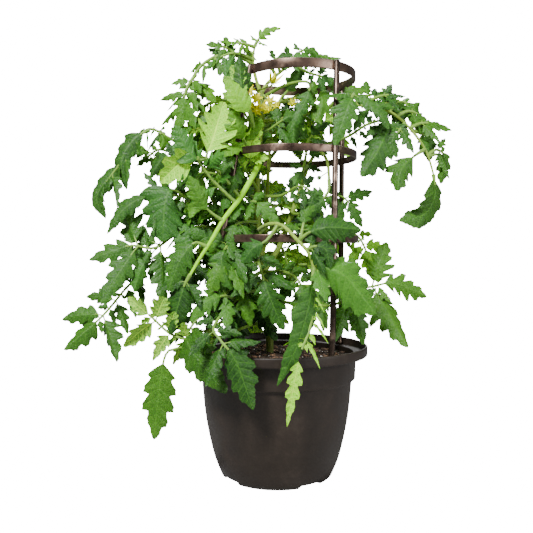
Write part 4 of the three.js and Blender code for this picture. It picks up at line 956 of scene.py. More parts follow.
# How round, fine and uneven the stems are.
STEM_SIDES = 14
STEM_STEP = 6
STEM_ROUGHNESS = 0.06
# How old the trusses' stalks look, as a tint.
TRUSS_TINT = (0.5, 0.6)
# Petals and sepals: how many, their length and half their width as shares of how far the bloom opens,
# how far they curl back as a share of their length, and how many millimetres before its back they start.
PETALS = (6, 1.3, 0.3, 0.2, 0.3)
CLOSED_PETALS = (6, 1.4, 0.3, -1.3, 0.3)
SEPALS = (5, 1.1, 0.12, 0.3, -0.3)
# How far the sepals are turned from the petals, and how thick, hollow and blunt both are.
SEPAL_TURN = 0.5
PETAL_THICK = 0.3
PETAL_HOLLOW = 0.35
PETAL_TIP = 0.12
# Where a petal starts as a share of its length, and how much petals differ in turn, length and curl.
PETAL_FOOT = 0.1
PETAL_TURNS = 0.12
PETAL_LENGTHS = 0.1
PETAL_CURLS = 0.3
# The pointed tube of the stamens: how many millimetres behind the bloom's middle it starts, and where its
# own middle and tip stand and how thick its ends are, as shares of how far the bloom opens.
TUBE_BACK = 0.4
TUBE_MIDDLE, TUBE_TIP = 0.35, 0.8
TUBE_RADII = (0.2, 0.06)


def add_hairs(shape, line, ends, radii, hairs, seed):
    """Short hairs that stand out all round a stem."""
    chance = random.Random(seed)
    start, stop = ends
    per_mm, length = hairs
    for _ in range(int((stop - start) * per_mm)):
        share = chance.random()
        distance = start + (stop - start) * share
        middle, along = line.at(distance), line.along(distance)
        out = unit(np.cross(along, [chance.gauss(0, 1), chance.gauss(0, 1), chance.gauss(0, 1)]))
        side = np.cross(along, out)
        radius = radii[0] + (radii[1] - radii[0]) * share
        root = middle + out * (radius - HAIR_ROOT)
        heading = out + HAIR_LEAN * along * chance.uniform(-1, 1)
        tip = root + heading * length * chance.uniform(*HAIR_LENGTHS)
        feet = [root + HAIR_RADIUS * (ahead * along + aside * side) for ahead, aside in HAIR_CORNERS]
        shape.add([*feet, tip], [np.array([(0, 1, 3), (1, 2, 3), (2, 0, 3), (0, 2, 1)])], "hair")


def add_leaves_on(shape, name):
    """Adds the leaves without a node of their own that are drawn with a stem or a leaf."""
    for number, item in enumerate(LEAVES):
        if item["name"] is None and item["on"] == name:
            add_leaf(shape, item, number + 1)


def build_stem(name, form):
    """A stem with its hairs and the leaves that have no node of their own."""
    shape = Shape()
    line = SmoothLine(seen(form["path"]))
    finish = "branch" if name == "branch_front_left" else "stem"
    seed = 500 + len(name)
    add_rod(shape, line, (0, line.length), form["radii"], STEM_SIDES, STEM_STEP, finish,
            (0.5, form["age"]), STEM_ROUGHNESS, seed)
    add_hairs(shape, line, (2, line.length - 2), form["radii"], STEM_HAIRS, seed)
    add_leaves_on(shape, name)
    if name == "stem_right":
        add_fruit(shape)
    make_piece(f"fine_{name}", shape, [name])


def add_ball(shape, middle, radius, rows, sides, finish, tint=(0.5, 0.5)):
    """A closed ball, from rings between two poles."""
    middle = np.asarray(middle, float)
    polar = math.pi * np.arange(1, rows) / rows
    turn = 2 * math.pi * np.arange(sides) / sides
    ring = np.stack([
        np.sin(polar)[:, None] * np.cos(turn), np.sin(polar)[:, None] * np.sin(turn),
        np.cos(polar)[:, None] * np.ones(sides),
    ], axis=-1).reshape(-1, 3)
    points = np.vstack([ring, [[0, 0, 1]], [[0, 0, -1]]]) * radius + middle
    k = np.arange(sides)
    top, bottom, last = len(ring), len(ring) + 1, (rows - 2) * sides
    crown = np.stack([np.full(sides, top), k, (k + 1) % sides], axis=-1)
    foot = np.stack([np.full(sides, bottom), last + (k + 1) % sides, last + k], axis=-1)
    body = grid_faces(rows - 1, sides, closed=True)[:, ::-1]
    shape.add(points, [body, crown, foot], [finish] * 3, None, tint)


def add_fruit(shape):
    """The small unripe fruit on its stalk."""
    place = seen([FRUIT_AT])[0]
    line = SmoothLine(seen([FRUIT_STALK_FROM, FRUIT_AT]))
    radius = FRUIT_STALK_RADIUS
    add_rod(shape, line, (0, line.length), (radius, radius), 8, 3, "stalk")
    add_ball(shape, place, FRUIT_RADIUS, 12, 20, "fruit")


def bloom_axes(looks):
    heading = unit(np.array(looks, float))
    across = unit(np.cross(UP, heading))
    return heading, across, np.cross(heading, across)


def add_petals(shape, centre, looks, opening, form, finish, seed, start_turn=0):
    """Narrow pointed petals around a direction, which spread and curl back."""
    count, length, width, curl, lift = form
    length, width = length * opening, width * opening
    heading, across, other = bloom_axes(looks)
    for k in range(count):
        turn = start_turn + 2 * math.pi * k / count + PETAL_TURNS * draw(seed, k)
        out = across * math.cos(turn) + other * math.sin(turn)
        reach = length * (1 + PETAL_LENGTHS * draw(seed, 20 + k))
        back = curl * (1 + PETAL_CURLS * draw(seed, 40 + k))

        def place(share):
            share = np.asarray(share, float)[..., None]
            spread = PETAL_FOOT + (1 - PETAL_FOOT) * share
            return centre + out * reach * spread + heading * (lift - back * reach * share**2)

        shares = np.linspace(0, 1, 9)
        middles = place(shares)
        along = unit(place(shares + NEAR) - place(shares - NEAR))
        normal, side = cross_axes(along, heading)
        half = width * np.sin(math.pi * (0.12 + 0.88 * shares)**0.75)**0.8 + PETAL_TIP
        grid = np.array([-1, -0.5, 0, 0.5, 1])
        points = (middles[:, None] + side[:, None] * (half[:, None] * grid)[..., None]
                  + normal[:, None] * (PETAL_HOLLOW * half[:, None] * grid**2)[..., None])
        marks = np.stack(np.broadcast_arrays(shares[:, None], grid[None, :]), axis=-1)
        thick = normal[:, None] * PETAL_THICK / 2
        add_sheet(shape, points + thick, points - thick, (finish, finish), marks, (0.5, 0.5))


def add_bloom(shape, at, opening, looks, seed, closed=False):
    """A bloom's petals and the pointed tube of its stamens. The closed bloom's petals stand together."""
    centre = seen([at])[0]
    heading = bloom_axes(looks)[0]
    add_petals(shape, centre, looks, opening, CLOSED_PETALS if closed else PETALS, "petal", seed)
    tube = SmoothLine([centre - heading * TUBE_BACK, centre + heading * TUBE_MIDDLE * opening,
                       centre + heading * TUBE_TIP * opening])
    radii = [share * opening for share in TUBE_RADII]
    add_rod(shape, tube, (0, tube.length), radii, 10, 1, "anther")


def add_bloom_stalk(shape, root, at, opening, looks, seed):
    """A bloom's hairy stalk from its root on the truss, and the narrow sepals behind the bloom."""
    heading = bloom_axes(looks)[0]
    back = seen([at])[0] - heading * CALYX_BEHIND
    stalk = SmoothLine([root, back - heading * PEDICEL_HOOK, back])
    thick = (PEDICEL_RADIUS, PEDICEL_RADIUS * PEDICEL_SWELLING)
    add_rod(shape, stalk, (0, stalk.length), thick, 8, 3, "stem", TRUSS_TINT)
    add_hairs(shape, stalk, (0, stalk.length), thick, BLOOM_HAIRS, 50 + seed)
    add_petals(shape, back, looks, opening, SEPALS, "calyx", seed, SEPAL_TURN)


def build_truss(name, form):
    """A truss: its hairy stalk, the blooms' short stalks and their narrow sepals, and its blooms."""
    shape = Shape()
    line = SmoothLine(seen(form["path"]))
    add_rod(shape, line, (0, line.length), TRUSS_RADII, 10, 4, "stem", TRUSS_TINT)
    add_hairs(shape, line, (1, line.length), TRUSS_RADII, TRUSS_HAIRS, 77)
    blooms = form["blooms"]
    for i, (at, opening, looks) in enumerate(blooms):
        root = line.at(line.length * (PEDICELS_FROM + PEDICELS_SPAN * i / len(blooms)))
        add_bloom_stalk(shape, root, at, opening, looks, 30 + i)
        bloom = Shape()
        bloom_name = f"{name}_bloom_{i + 1}"
        add_bloom(bloom, at, opening, looks, 60 + 7 * i, bloom_name == CLOSED_BLOOM)
        if i + 1 in form["twins"]:
            add_bloom(bloom, *form["twins"][i + 1], 160 + 7 * i)
            add_bloom_stalk(shape, root, *form["twins"][i + 1], 40 + i)
        make_piece(f"fine_{bloom_name}", bloom, [bloom_name])
    make_piece(f"fine_{name}", shape, [name])


# ---------------------------------------------------------------- pot, soil and support


def arc(middle, radius, start, stop, steps):
    """Points of an arc in a profile of radius and height."""
    turns = np.radians(np.linspace(start, stop, steps))
    return [(middle[0] + radius * math.cos(t), middle[1] + radius * math.sin(t)) for t in turns]


def add_turned(shape, profile, sides, finish, middle=(0, 0), reshape=None):
    """A turned body from its closed profile of radius and height, which runs up the outside."""
    profile = np.array(profile, float)
    turn = 2 * math.pi * np.arange(sides) / sides
    radius, height = profile[:, 0][:, None], profile[:, 1][:, None] * np.ones(sides)
    points = np.stack([
        middle[0] + radius * np.cos(turn), middle[1] + radius * np.sin(turn), height], axis=-1)
    if reshape:
        points = reshape(points)
    faces = grid_faces(len(profile) + 1, sides, closed=True) % (len(profile) * sides)
    shape.add(points, [faces], finish)


# The pot's side between its foot and its step: radius and height. Its floor is closed but for a point.
POT_SIDE = [(94, 2.5), (105.3, 31), BULGE, (121.6, 110), (BODY_RADIUS, STEP_HEIGHT - 5)]
POT_SIDES = 192
CENTRE_HOLE = 0.5
# How far a notch reaches in from the foot's edge, up to which height it is felt, and how sharply its ends
# and its inner edge fade, per degree and per millimetre.
NOTCH_DEPTH = 14
NOTCH_FADE = 12
NOTCH_END_FADE = 2.5
NOTCH_INNER_FADE = 0.8


def notched(points):
    """Lifts the pot's foot into its shallow notches."""
    x, y, z = points[..., 0], points[..., 1], points[..., 2]
    turn = np.degrees(np.arctan2(x, -y))
    period = 360 / NOTCH_COUNT
    off = (turn - FIRST_LEG_DEGREES + period / 2) % period - period / 2
    half = math.degrees(NOTCH_WIDTH / 2 / FOOT_RADIUS)
    window = 1 / (1 + np.exp((np.abs(off) - half) * NOTCH_END_FADE))
    near_edge = 1 / (1 + np.exp((FOOT_RADIUS - NOTCH_DEPTH - np.hypot(x, y)) * NOTCH_INNER_FADE))
    low = np.clip((NOTCH_FADE - z) / NOTCH_FADE, 0, 1)
    lifted = points.copy()
    lifted[..., 2] = z + NOTCH_HEIGHT * window * near_edge * low
    return lifted


def build_pot():
    """The pot, turned from its profile: up its outside, over its rim and down its inside."""
    shape = Shape()
    rim_foot = POT_HEIGHT - RIM_DEPTH
    inner = RIM_RADIUS - RIM_LIP
    outline = SmoothLine([(radius, 0, height) for radius, height in POT_SIDE])
    body = [(p[0], p[2]) for p in outline.at(np.linspace(0, outline.length, 24))]
    profile = [
        (CENTRE_HOLE, 0), (40, 0), *[(FOOT_RADIUS - inside, 0) for inside in (24, NOTCH_DEPTH, 7)],
        (FOOT_RADIUS, 0.2), *arc((FOOT_RADIUS + 3, 4), 4, -80, -30, 4), *body,
        *arc((BODY_RADIUS + 2, STEP_HEIGHT - 1.6), 2, 180, 100, 4),
        *arc((NECK_FOOT - 2, STEP_HEIGHT + 2), 2, -80, 0, 5),
        (NECK_RADIUS - 0.8, STEP_HEIGHT + 18), (NECK_RADIUS - 0.2, rim_foot - 6),
        *arc((NECK_RADIUS + 2, rim_foot - 2), 2, 180, 95, 4),
        *arc((RIM_RADIUS - 2.5, rim_foot + 2.5), 2.5, -90, 0, 6),
        *arc((RIM_RADIUS - 2.4, POT_HEIGHT - 2.4), 2.4, 0, 180, 12),
        (inner, rim_foot + LEDGE + 1), (inner - 1, rim_foot + LEDGE),
        *arc((NECK_FOOT - WALL + 1, rim_foot + LEDGE - 1), 1, 90, 180, 4),
        (NECK_FOOT - WALL, STEP_HEIGHT), (BODY_RADIUS - WALL, STEP_HEIGHT - 5),
        (BULGE[0] - WALL, BULGE[1]), (FLOOR_RADIUS, FLOOR), (CENTRE_HOLE, FLOOR),
    ]
    add_turned(shape, profile, POT_SIDES, "pot", reshape=notched)
    make_piece("fine_pot", shape, ["pot"], sharp=60)


# The soil's mound: the radius at its foot and the power by which it falls. Its clods and crumbs are
# waves of these heights.
MOUND_RADIUS = 129
MOUND_FALL = 1.6
CLOD_HEIGHT = 1.6
CRUMB_HEIGHT = 0.9


def soil_height(x, y):
    """The soil's top: a low mound with clods and crumbs."""
    fallen = np.clip(np.hypot(x, y) / MOUND_RADIUS, 0, 1)**MOUND_FALL
    clods = np.sin(0.09 * x + 1.3 * np.sin(0.07 * y)) * np.cos(0.11 * y + 1.1 * np.sin(0.05 * x))
    crumbs = np.sin(0.43 * x + 2.1 * np.sin(0.31 * y)) * np.sin(0.39 * y + 1.7 * np.sin(0.27 * x))
    mound = SOIL_MIDDLE - (SOIL_MIDDLE - SOIL_EDGE) * fallen
    return mound + CLOD_HEIGHT * clods + CRUMB_HEIGHT * crumbs


# The larger clods on the soil: their places and sizes.
CLODS = [(62, -82, 9), (78, -70, 7), (50, -96, 6), (88, -84, 6), (70, -100, 5), (96, -60, 7), (40, -78, 5),
         (-40, -92, 7), (-72, -64, 6), (-20, 84, 8), (46, 80, 6), (-84, 30, 7), (100, 12, 6), (10, -104, 6)]
# The loose crumbs: how many, the share of each kind, its sizes, and its length, width and height as
# shares of its size.
CRUMBS = 900
CRUMB_SHARES = {"soil": 0.6, "bark": 0.28, "grain": 0.12}
CRUMB_SIZES = {"soil": (1.2, 3), "bark": (2.2, 5.5), "grain": (0.9, 1.9)}
CRUMB_FORMS = {"soil": (1, 0.9, 0.7), "bark": (1.3, 0.7, 0.4), "grain": (1, 0.9, 0.8)}
CRUMB_ROWS, CRUMB_SIDES = 5, 7
CRUMB_UNEVEN = 0.22
# How far a crumb may be turned and tipped.
FULL_TURN = 6.28
CRUMB_TIP = 0.5
# The soil's top: its rings of points, how uneven they are, and the radius of the innermost.
SOIL_RINGS = 44
SOIL_SIDES = 150
SOIL_UNEVEN = 0.7
SOIL_CENTRE = 0.4


def build_soil():
    """Potting mix: an uneven top with loose crumbs, bark and white grains."""
    shape = Shape()
    edge = NECK_FOOT - WALL - GAP
    chance = random.Random(7)
    radii = np.concatenate([[SOIL_CENTRE], np.linspace(3, edge - 3, SOIL_RINGS), [edge]])
    profile = [(SOIL_CENTRE, FLOOR + GAP), (FLOOR_RADIUS - GAP, FLOOR + GAP),
               (BULGE[0] - WALL - GAP, BULGE[1]), (BODY_RADIUS - WALL - GAP, STEP_HEIGHT - 5),
               (edge, STEP_HEIGHT)]
    profile += [(r, SOIL_EDGE) for r in radii[::-1]]

    def lumpy(points):
        points = points.copy()
        top = points[len(profile) - len(radii):]
        top[..., 2] = soil_height(top[..., 0], top[..., 1])
        for value in np.nditer(top[1:, :, 2], op_flags=["readwrite"]):
            value[...] += chance.uniform(-SOIL_UNEVEN, SOIL_UNEVEN)
        return points

    add_turned(shape, profile, SOIL_SIDES, "soil", reshape=lumpy)
    for x, y, size in CLODS:
        add_lump(shape, (x, y, soil_height(x, y) + 0.3 * size), size, "bark", chance)
    for _ in range(CRUMBS):
        radius, turn = (edge - 4) * math.sqrt(chance.random()), chance.uniform(0, 2 * math.pi)
        x, y = radius * math.cos(turn), radius * math.sin(turn)
        kind = chance.choices(list(CRUMB_SHARES), list(CRUMB_SHARES.values()))[0]
        add_lump(shape, (x, y, soil_height(x, y) + 0.3), chance.uniform(*CRUMB_SIZES[kind]), kind, chance)
    make_piece("fine_soil", shape, ["soil"], sharp=180)


def add_lump(shape, middle, size, kind, chance):
    """An uneven crumb, chip of bark or grain."""
    lump = Shape()
    add_ball(lump, (0, 0, 0), 1, CRUMB_ROWS, CRUMB_SIDES, kind)
    points = lump.points[0] * np.array(CRUMB_FORMS[kind]) * size
    points *= np.array([[1 + chance.uniform(-CRUMB_UNEVEN, CRUMB_UNEVEN)] for _ in points])
    turn, tip = chance.uniform(0, FULL_TURN), chance.uniform(-CRUMB_TIP, CRUMB_TIP)
    x = points[:, 0] * math.cos(tip) - points[:, 2] * math.sin(tip)
    y = points[:, 1]
    z = points[:, 0] * math.sin(tip) + points[:, 2] * math.cos(tip)
    across = x * math.cos(turn) - y * math.sin(turn)
    along = x * math.sin(turn) + y * math.cos(turn)
    placed = np.stack([across, along, z], axis=-1) + np.asarray(middle)
    faces = [[face for face in lump.faces if len(face) == corners] for corners in (4, 3)]
    shape.add(placed, faces, [kind, kind], None, (chance.random(), 0.5))


# How round a ring's edges are, and how finely rings and legs are drawn.
BAND_EDGE = 1.1
RING_SIDES = 144
LEG_SIDES = 20


def support(height):
    """The support's middle and radius at a height."""
    drop = RING_TOP - height
    return LEAN_TOP - LEAN_PER_MM * drop, RING_TOP_RADIUS + SPREAD_PER_MM * drop


def build_ring(name):
    """A flat band with rounded edges, all round the support."""
    top, tall = RINGS[name]
    x, radius = support(top - tall / 2)
    outer, inner = radius + BAND / 2 - BAND_EDGE, radius - BAND / 2 + BAND_EDGE
    high, low = top - BAND_EDGE, top - tall + BAND_EDGE
    corners = [(outer, low), (outer, high), (inner, high), (inner, low)]
    profile = []
    for corner, start in zip(corners, (-90, 0, 90, 180)):
        profile += arc(corner, BAND_EDGE, start, start + 90, 5)
    shape = Shape()
    add_turned(shape, profile, RING_SIDES, "ring", middle=(x, 0))
    make_piece(f"fine_{name}", shape, [name], sharp=60)


def build_leg(index):
    """A leg from its shoe on the pot's ledge to the top ring."""
    turn = math.radians(FIRST_LEG_DEGREES + 360 * index / LEG_COUNT)
    foot = POT_HEIGHT - RIM_DEPTH + LEDGE + GAP
    top = RINGS["ring_top"][0]
    levels = [
        (foot, SHOE_RADIUS - 0.8, SHOE_SEAT), (foot + 0.8, SHOE_RADIUS, SHOE_SEAT),
        (foot + SHOE_EDGE, SHOE_RADIUS, SHOE_SEAT), (foot + SHOE_EDGE + 1, SHOE_RADIUS - 0.6, SHOE_SEAT),
        (foot + SHOE_HEIGHT, LEG_RADIUS, SHOE_SEAT + 1), (foot + LEG_BEND, LEG_RADIUS, LEG_SEAT),
        (top - 2, LEG_RADIUS, LEG_SEAT), (top - 0.6, LEG_RADIUS - 0.8, LEG_SEAT),
        (top, LEG_RADIUS - 2, LEG_SEAT),
    ]
    sides = LEG_SIDES
    round_ = 2 * math.pi * np.arange(sides) / sides + turn
    points = []
    for height, thick, seat in levels:
        x, radius = support(height)
        reach = radius + seat
        points.append(np.stack([
            x + reach * math.sin(turn) + thick * np.cos(round_),
            -reach * math.cos(turn) + thick * np.sin(round_), np.full(sides, height)], axis=-1))
    rows = len(levels)
    k = np.arange(1, sides - 1)
    last = (rows - 1) * sides
    low = np.stack([np.zeros_like(k), k + 1, k], axis=-1)
    high = np.stack([np.full_like(k, last), last + k, last + k + 1], axis=-1)
    shape = Shape()
    shape.add(np.vstack(points), [grid_faces(rows, sides, closed=True), low, high], ["leg"] * 3)
    make_piece(f"fine_leg_{index + 1}", shape, [f"leg_{index + 1}"], sharp=40)


# ---------------------------------------------------------------- finishes

MATERIALS = {}
# How much light passes on through a leaf.
THIN_GLOW = 0.35
# How far up from the soil the trunk is brownish.
OLD_FOOT = 70
# The painted shade in a leaf's hollows: what its colour is multiplied by there.
HOLLOW_SHADE_COLOUR = (0.4, 0.5, 0.4)
# How broad a leaflet's side veins and rib are, in the measures of its marks, and how the side veins show.
VEIN_WIDTH = 0.12
RIB_WIDTH = 0.09
VEIN_STRENGTH = 0.75
# A leaf's tops and undersides: two colours for old leaves and two for young ones, dark and light, the
# veins' colour, the roughness, and the shares of the veins, the net of fine veins and the painted shade
# in the hollows.
LEAF_SIDES = {
    "leaf_top": (((0.005, 0.031, 0.006), (0.048, 0.185, 0.02)), ((0.03, 0.13, 0.003), (0.24, 0.58, 0.01)),
                 (0.13, 0.36, 0.03), 0.42, (0.3, 0.06, 0.45)),
    "leaf_under": (((0.07, 0.22, 0.03), (0.17, 0.46, 0.05)), ((0.13, 0.36, 0.004), (0.29, 0.74, 0.005)),
                   (0.62, 1.0, 0.09), 0.6, (1.0, 0.5, 0.5)),
}
# Plain finishes: their roughness and other sockets, the scale, detail and roughness of the noise that
# colours them, the colours at its levels, and their relief's noise, strength and depth in metres.
PLAIN_FINISHES = {
    "stalk": (0.5, dict(Sheen_Weight=0.2), (240, 4),
              [(0.3, (0.105, 0.24, 0.014)), (0.7, (0.21, 0.4, 0.028))], (1000, 3), 0.35, 0.0005),
    "branch": (0.5, dict(Specular_IOR_Level=0.25), (200, 4),
               [(0.3, (0.24, 0.66, 0.003)), (0.7, (0.38, 0.84, 0.006))], (900, 3), 0.3, 0.0005),
    "hair": (0.4, {}, (400, 2), [(0.3, (0.5, 0.58, 0.36)), (0.7, (0.72, 0.76, 0.56))], None, 0, 0),
    "fruit": (0.22, dict(Coat_Weight=0.2), (260, 3),
              [(0.3, (0.035, 0.1, 0.016)), (0.7, (0.08, 0.18, 0.03))], (700, 2), 0.1, 0.0003),
    "calyx": (0.6, dict(Sheen_Weight=0.4), (500, 3),
              [(0.3, (0.34, 0.5, 0.16)), (0.7, (0.55, 0.7, 0.3))], (1500, 3), 0.5, 0.0005),
    "petal": (0.55, dict(Specular_IOR_Level=0.2, Subsurface_Weight=0.8,
                         Subsurface_Radius=(0.004, 0.0036, 0.0006)), (420, 4),
              [(0.2, (0.5, 0.38, 0.001)), (0.3, (0.92, 0.88, 0)), (0.7, (1, 1, 0))],
              (1500, 2), 0.25, 0.0003),
    "anther": (0.45, {}, (800, 3), [(0.3, (0.85, 0.8, 0.01)), (0.7, (0.98, 0.96, 0.02))],
               (1800, 2), 0.3, 0.0003),
    "soil": (0.95, {}, (330, 6, 0.7),
             [(0.3, (0.018, 0.011, 0.008)), (0.55, (0.055, 0.032, 0.021)), (0.75, (0.12, 0.072, 0.045))],
             (700, 6, 0.7), 0.9, 0.002),
    "grain": (0.8, {}, (600, 4), [(0.3, (0.5, 0.47, 0.42)), (0.7, (0.8, 0.78, 0.74))],
              (1600, 3), 0.6, 0.0006),
}
# The support's two finishes: the dark and the light colour of the plastic, and how strong its lighter
# patches are, which are partly wear and partly painted highlight.
SUPPORT_FINISHES = {
    "ring": ((0.068, 0.045, 0.033), (0.205, 0.135, 0.1), 0.75),
    # The legs' colours are darker than the rings' as painted shade, since both are the same plastic.
    "leg": ((0.036, 0.025, 0.019), (0.112, 0.077, 0.058), 0.5),
}


class Finish:
    """A material in the making, with short names for the nodes that it needs."""

    def __init__(self, name, roughness, **sockets):
        self.material = bpy.data.materials.new(name)
        self.material.use_nodes = True
        self.tree = self.material.node_tree
        self.skin = self.tree.nodes["Principled BSDF"]
        self.skin.inputs["Roughness"].default_value = roughness
        for socket, value in sockets.items():
            self.skin.inputs[socket.replace("_", " ")].default_value = value
        MATERIALS[name] = self.material
        self.place = self.node("ShaderNodeTexCoord").outputs["Object"]

    def node(self, kind, **inputs):
        made = self.tree.nodes.new(kind)
        for name, value in inputs.items():
            self.put(made.inputs[name.replace("_", " ")], value)
        return made

    def put(self, socket, value):
        if isinstance(value, bpy.types.NodeSocket):
            self.tree.links.new(value, socket)
        else:
            socket.default_value = value

    def noise(self, scale, detail=3, roughness=0.55):
        return self.node("ShaderNodeTexNoise", Vector=self.place, Scale=scale, Detail=detail,
                         Roughness=roughness).outputs["Fac"]

    def math(self, operation, first, second=0.0):
        made = self.tree.nodes.new("ShaderNodeMath")
        made.operation = operation
        self.put(made.inputs[0], first)
        self.put(made.inputs[1], second)
        return made.outputs[0]

    def span(self, value, low, high, to_low=0.0, to_high=1.0):
        made = self.node("ShaderNodeMapRange")
        for socket, number in zip(made.inputs, (value, low, high, to_low, to_high)):
            self.put(socket, number)
        return made.outputs[0]

    def ramp(self, value, *stops):
        made = self.node("ShaderNodeValToRGB", Fac=value)
        elements = made.color_ramp.elements
        while len(elements) < len(stops):
            elements.new(0.5)
        for element, (position, colour) in zip(elements, stops):
            element.position = position
            element.color = (*colour, 1)
        return made.outputs["Color"]

    def mix(self, share, first, second, blend="MIX"):
        made = self.tree.nodes.new("ShaderNodeMix")
        made.data_type = "RGBA"
        made.blend_type = blend
        self.put(made.inputs["Factor"], share)
        for socket, value in ((made.inputs[6], first), (made.inputs[7], second)):
            self.put(socket, value if isinstance(value, bpy.types.NodeSocket) else (*value, 1))
        return made.outputs[2]

    def marks(self):
        made = self.node("ShaderNodeUVMap")
        made.uv_map = "marks"
        split = self.node("ShaderNodeSeparateXYZ", Vector=made.outputs[0])
        return split.outputs[0], split.outputs[1]

    def tint(self):
        made = self.node("ShaderNodeAttribute")
        made.attribute_name = "tint"
        split = self.node("ShaderNodeSeparateColor", Color=made.outputs["Color"])
        return split.outputs[0], split.outputs[1]

    def wear(self, colour, roughness=None, height=None, strength=0.3, distance=0.0005):
        """Gives the skin its colour, and where they are given its roughness and relief."""
        self.put(self.skin.inputs["Base Color"], colour)
        if roughness is not None:
            self.put(self.skin.inputs["Roughness"], roughness)
        if height is not None:
            bump = self.node("ShaderNodeBump", Height=height, Strength=strength, Distance=distance)
            self.put(self.skin.inputs["Normal"], bump.outputs[0])


def vein_mask(finish):
    """1 on a leaflet's rib, nearly so on its side veins, 0 between them."""
    along, across = finish.marks()
    share = finish.math("FRACT", finish.math("ADD", along, 0.5))
    off = finish.math("ABSOLUTE", finish.math("SUBTRACT", share, 0.5))
    side = finish.span(off, 0.0, VEIN_WIDTH, VEIN_STRENGTH, 0.0)
    rib = finish.span(finish.math("ABSOLUTE", across), 0.0, RIB_WIDTH, 1.0, 0.0)
    return finish.math("MAXIMUM", side, rib)


def leaf_finish(name, old, young, vein, roughness, shares):
    """A leaf's skin: its colour by leaf and by age, patches, and by their shares paler veins, a net of
    finer ones, and painted shade in the hollows."""
    vein_share, net_share, hollow_shade_share = shares
    finish = Finish(name, roughness, Specular_IOR_Level=0.24, Subsurface_Weight=THIN_GLOW,
                    Subsurface_Radius=(0.0008, 0.0016, 0.0003))
    tone, age = finish.tint()
    patches = finish.noise(70, 4)
    hollows = finish.noise(330, 3, 0.6)
    shade = finish.math("ADD", finish.math("MULTIPLY", tone, 0.62), finish.math("MULTIPLY", patches, 0.45))
    old_skin, young_skin = (finish.ramp(shade, *zip((0.15, 0.85), colours)) for colours in (old, young))
    colour = finish.mix(age, old_skin, young_skin)
    # Painted shade: the colour is darkened where the relief's hollows lie low.
    painted_hollow_shade = finish.span(hollows, 0.36, 0.54, hollow_shade_share, 0.0)
    colour = finish.mix(painted_hollow_shade, colour, HOLLOW_SHADE_COLOUR, "MULTIPLY")
    mask = vein_mask(finish)
    net = finish.node("ShaderNodeTexVoronoi", Vector=finish.place, Scale=260)
    net.feature = "DISTANCE_TO_EDGE"
    fine = finish.span(net.outputs["Distance"], 0.0, 0.14, net_share, 0.0)
    share = finish.math("MAXIMUM", finish.math("MULTIPLY", mask, vein_share), fine)
    colour = finish.mix(share, colour, vein)
    cells = finish.node("ShaderNodeTexVoronoi", Vector=finish.place, Scale=300).outputs["Distance"]
    relief = finish.math("SUBTRACT", finish.math("MULTIPLY", hollows, 1.5), cells)
    relief = finish.math("SUBTRACT", relief, finish.math("MULTIPLY", mask, 0.7))
    rough = finish.span(finish.noise(260, 2), 0.3, 0.7, roughness - 0.07, roughness + 0.1)
    finish.wear(colour, rough, relief, 0.6, 0.001)


def plain_finish(name, roughness, sockets, tone, colours, relief, strength, distance):
    finish = Finish(name, roughness, **sockets)
    height = finish.noise(*relief) if relief else None
    finish.wear(finish.ramp(finish.noise(*tone), *colours), None, height, strength, distance)


def stem_finish():
    """Green skin, younger or older by its tint, and brownish on the trunk's foot."""
    stem = Finish("stem", 0.5, Specular_IOR_Level=0.3, Sheen_Weight=0.1)
    tone = stem.noise(300, 4)
    _, age = stem.tint()
    old = stem.ramp(tone, (0.3, (0.12, 0.2, 0.02)), (0.7, (0.26, 0.38, 0.045)))
    young = stem.ramp(tone, (0.3, (0.22, 0.4, 0.03)), (0.7, (0.38, 0.6, 0.06)))
    height = stem.node("ShaderNodeSeparateXYZ", Vector=stem.place).outputs["Z"]
    foot = stem.span(height, SOIL_MIDDLE * MM, (SOIL_MIDDLE + OLD_FOOT) * MM, 0.75, 0.0)
    skin = stem.mix(foot, stem.mix(age, old, young), (0.085, 0.095, 0.028))
    stem.wear(skin, None, stem.noise(900, 3), 0.4, 0.0006)


def pot_finish():
    """Dark plastic with lighter scuffed patches and a fine grain."""
    pot = Finish("pot", 0.4, Specular_IOR_Level=0.35)
    marks = pot.noise(28, 6, 0.65)
    plastic = pot.ramp(marks, (0.3, (0.0145, 0.0098, 0.0066)), (0.7, (0.027, 0.0184, 0.0126)))
    skin = pot.mix(pot.span(marks, 0.58, 0.75, 0.0, 0.3), plastic, (0.055, 0.043, 0.033))
    pot.wear(skin, pot.span(marks, 0.3, 0.75, 0.4, 0.6), pot.noise(1400, 2), 0.12, 0.0003)


def support_finish(name, dark, light, wear_and_highlight):
    """Bronze-brown plastic with a metallic shimmer, lighter in patches that are partly wear and partly
    painted highlight.
    """
    band = Finish(name, 0.36, Specular_IOR_Level=0.55, Metallic=0.85)
    marks = band.noise(60, 5, 0.6)
    # The lighter patches are partly wear and partly painted highlight.
    wear_and_highlight_mask = band.span(band.noise(34, 4, 0.6), 0.58, 0.68, 0.0, wear_and_highlight)
    skin = band.mix(wear_and_highlight_mask, band.ramp(marks, (0.3, dark), (0.75, light)), (0.46, 0.32, 0.24))
    band.wear(skin, band.span(marks, 0.3, 0.7, 0.24, 0.4), band.noise(1200, 2), 0.1, 0.0003)


def bark_finish():
    """Bark, each chip browner or more reddish by its tint."""
    bark = Finish("bark", 0.85)
    tone, _ = bark.tint()
    brown = bark.ramp(bark.noise(420, 5), (0.3, (0.07, 0.034, 0.018)), (0.7, (0.15, 0.078, 0.04)))
    bark.wear(bark.mix(tone, brown, (0.26, 0.15, 0.085)), None, bark.noise(900, 5, 0.7), 0.8, 0.001)


def floor_finish():
    """The plain floor, which looks white to the camera and shines no light on the plant."""
    floor = Finish("floor", 0.9, Emission_Color=(1, 1, 1, 1))
    floor.wear(floor.ramp(floor.noise(3, 3), (0.3, (0.3, 0.3, 0.3)), (0.7, (0.34, 0.34, 0.34))))
    seen_ray = floor.node("ShaderNodeLightPath").outputs["Is Camera Ray"]
    floor.put(floor.skin.inputs["Emission Strength"], floor.math("MULTIPLY", seen_ray, WHITE_FLOOR))


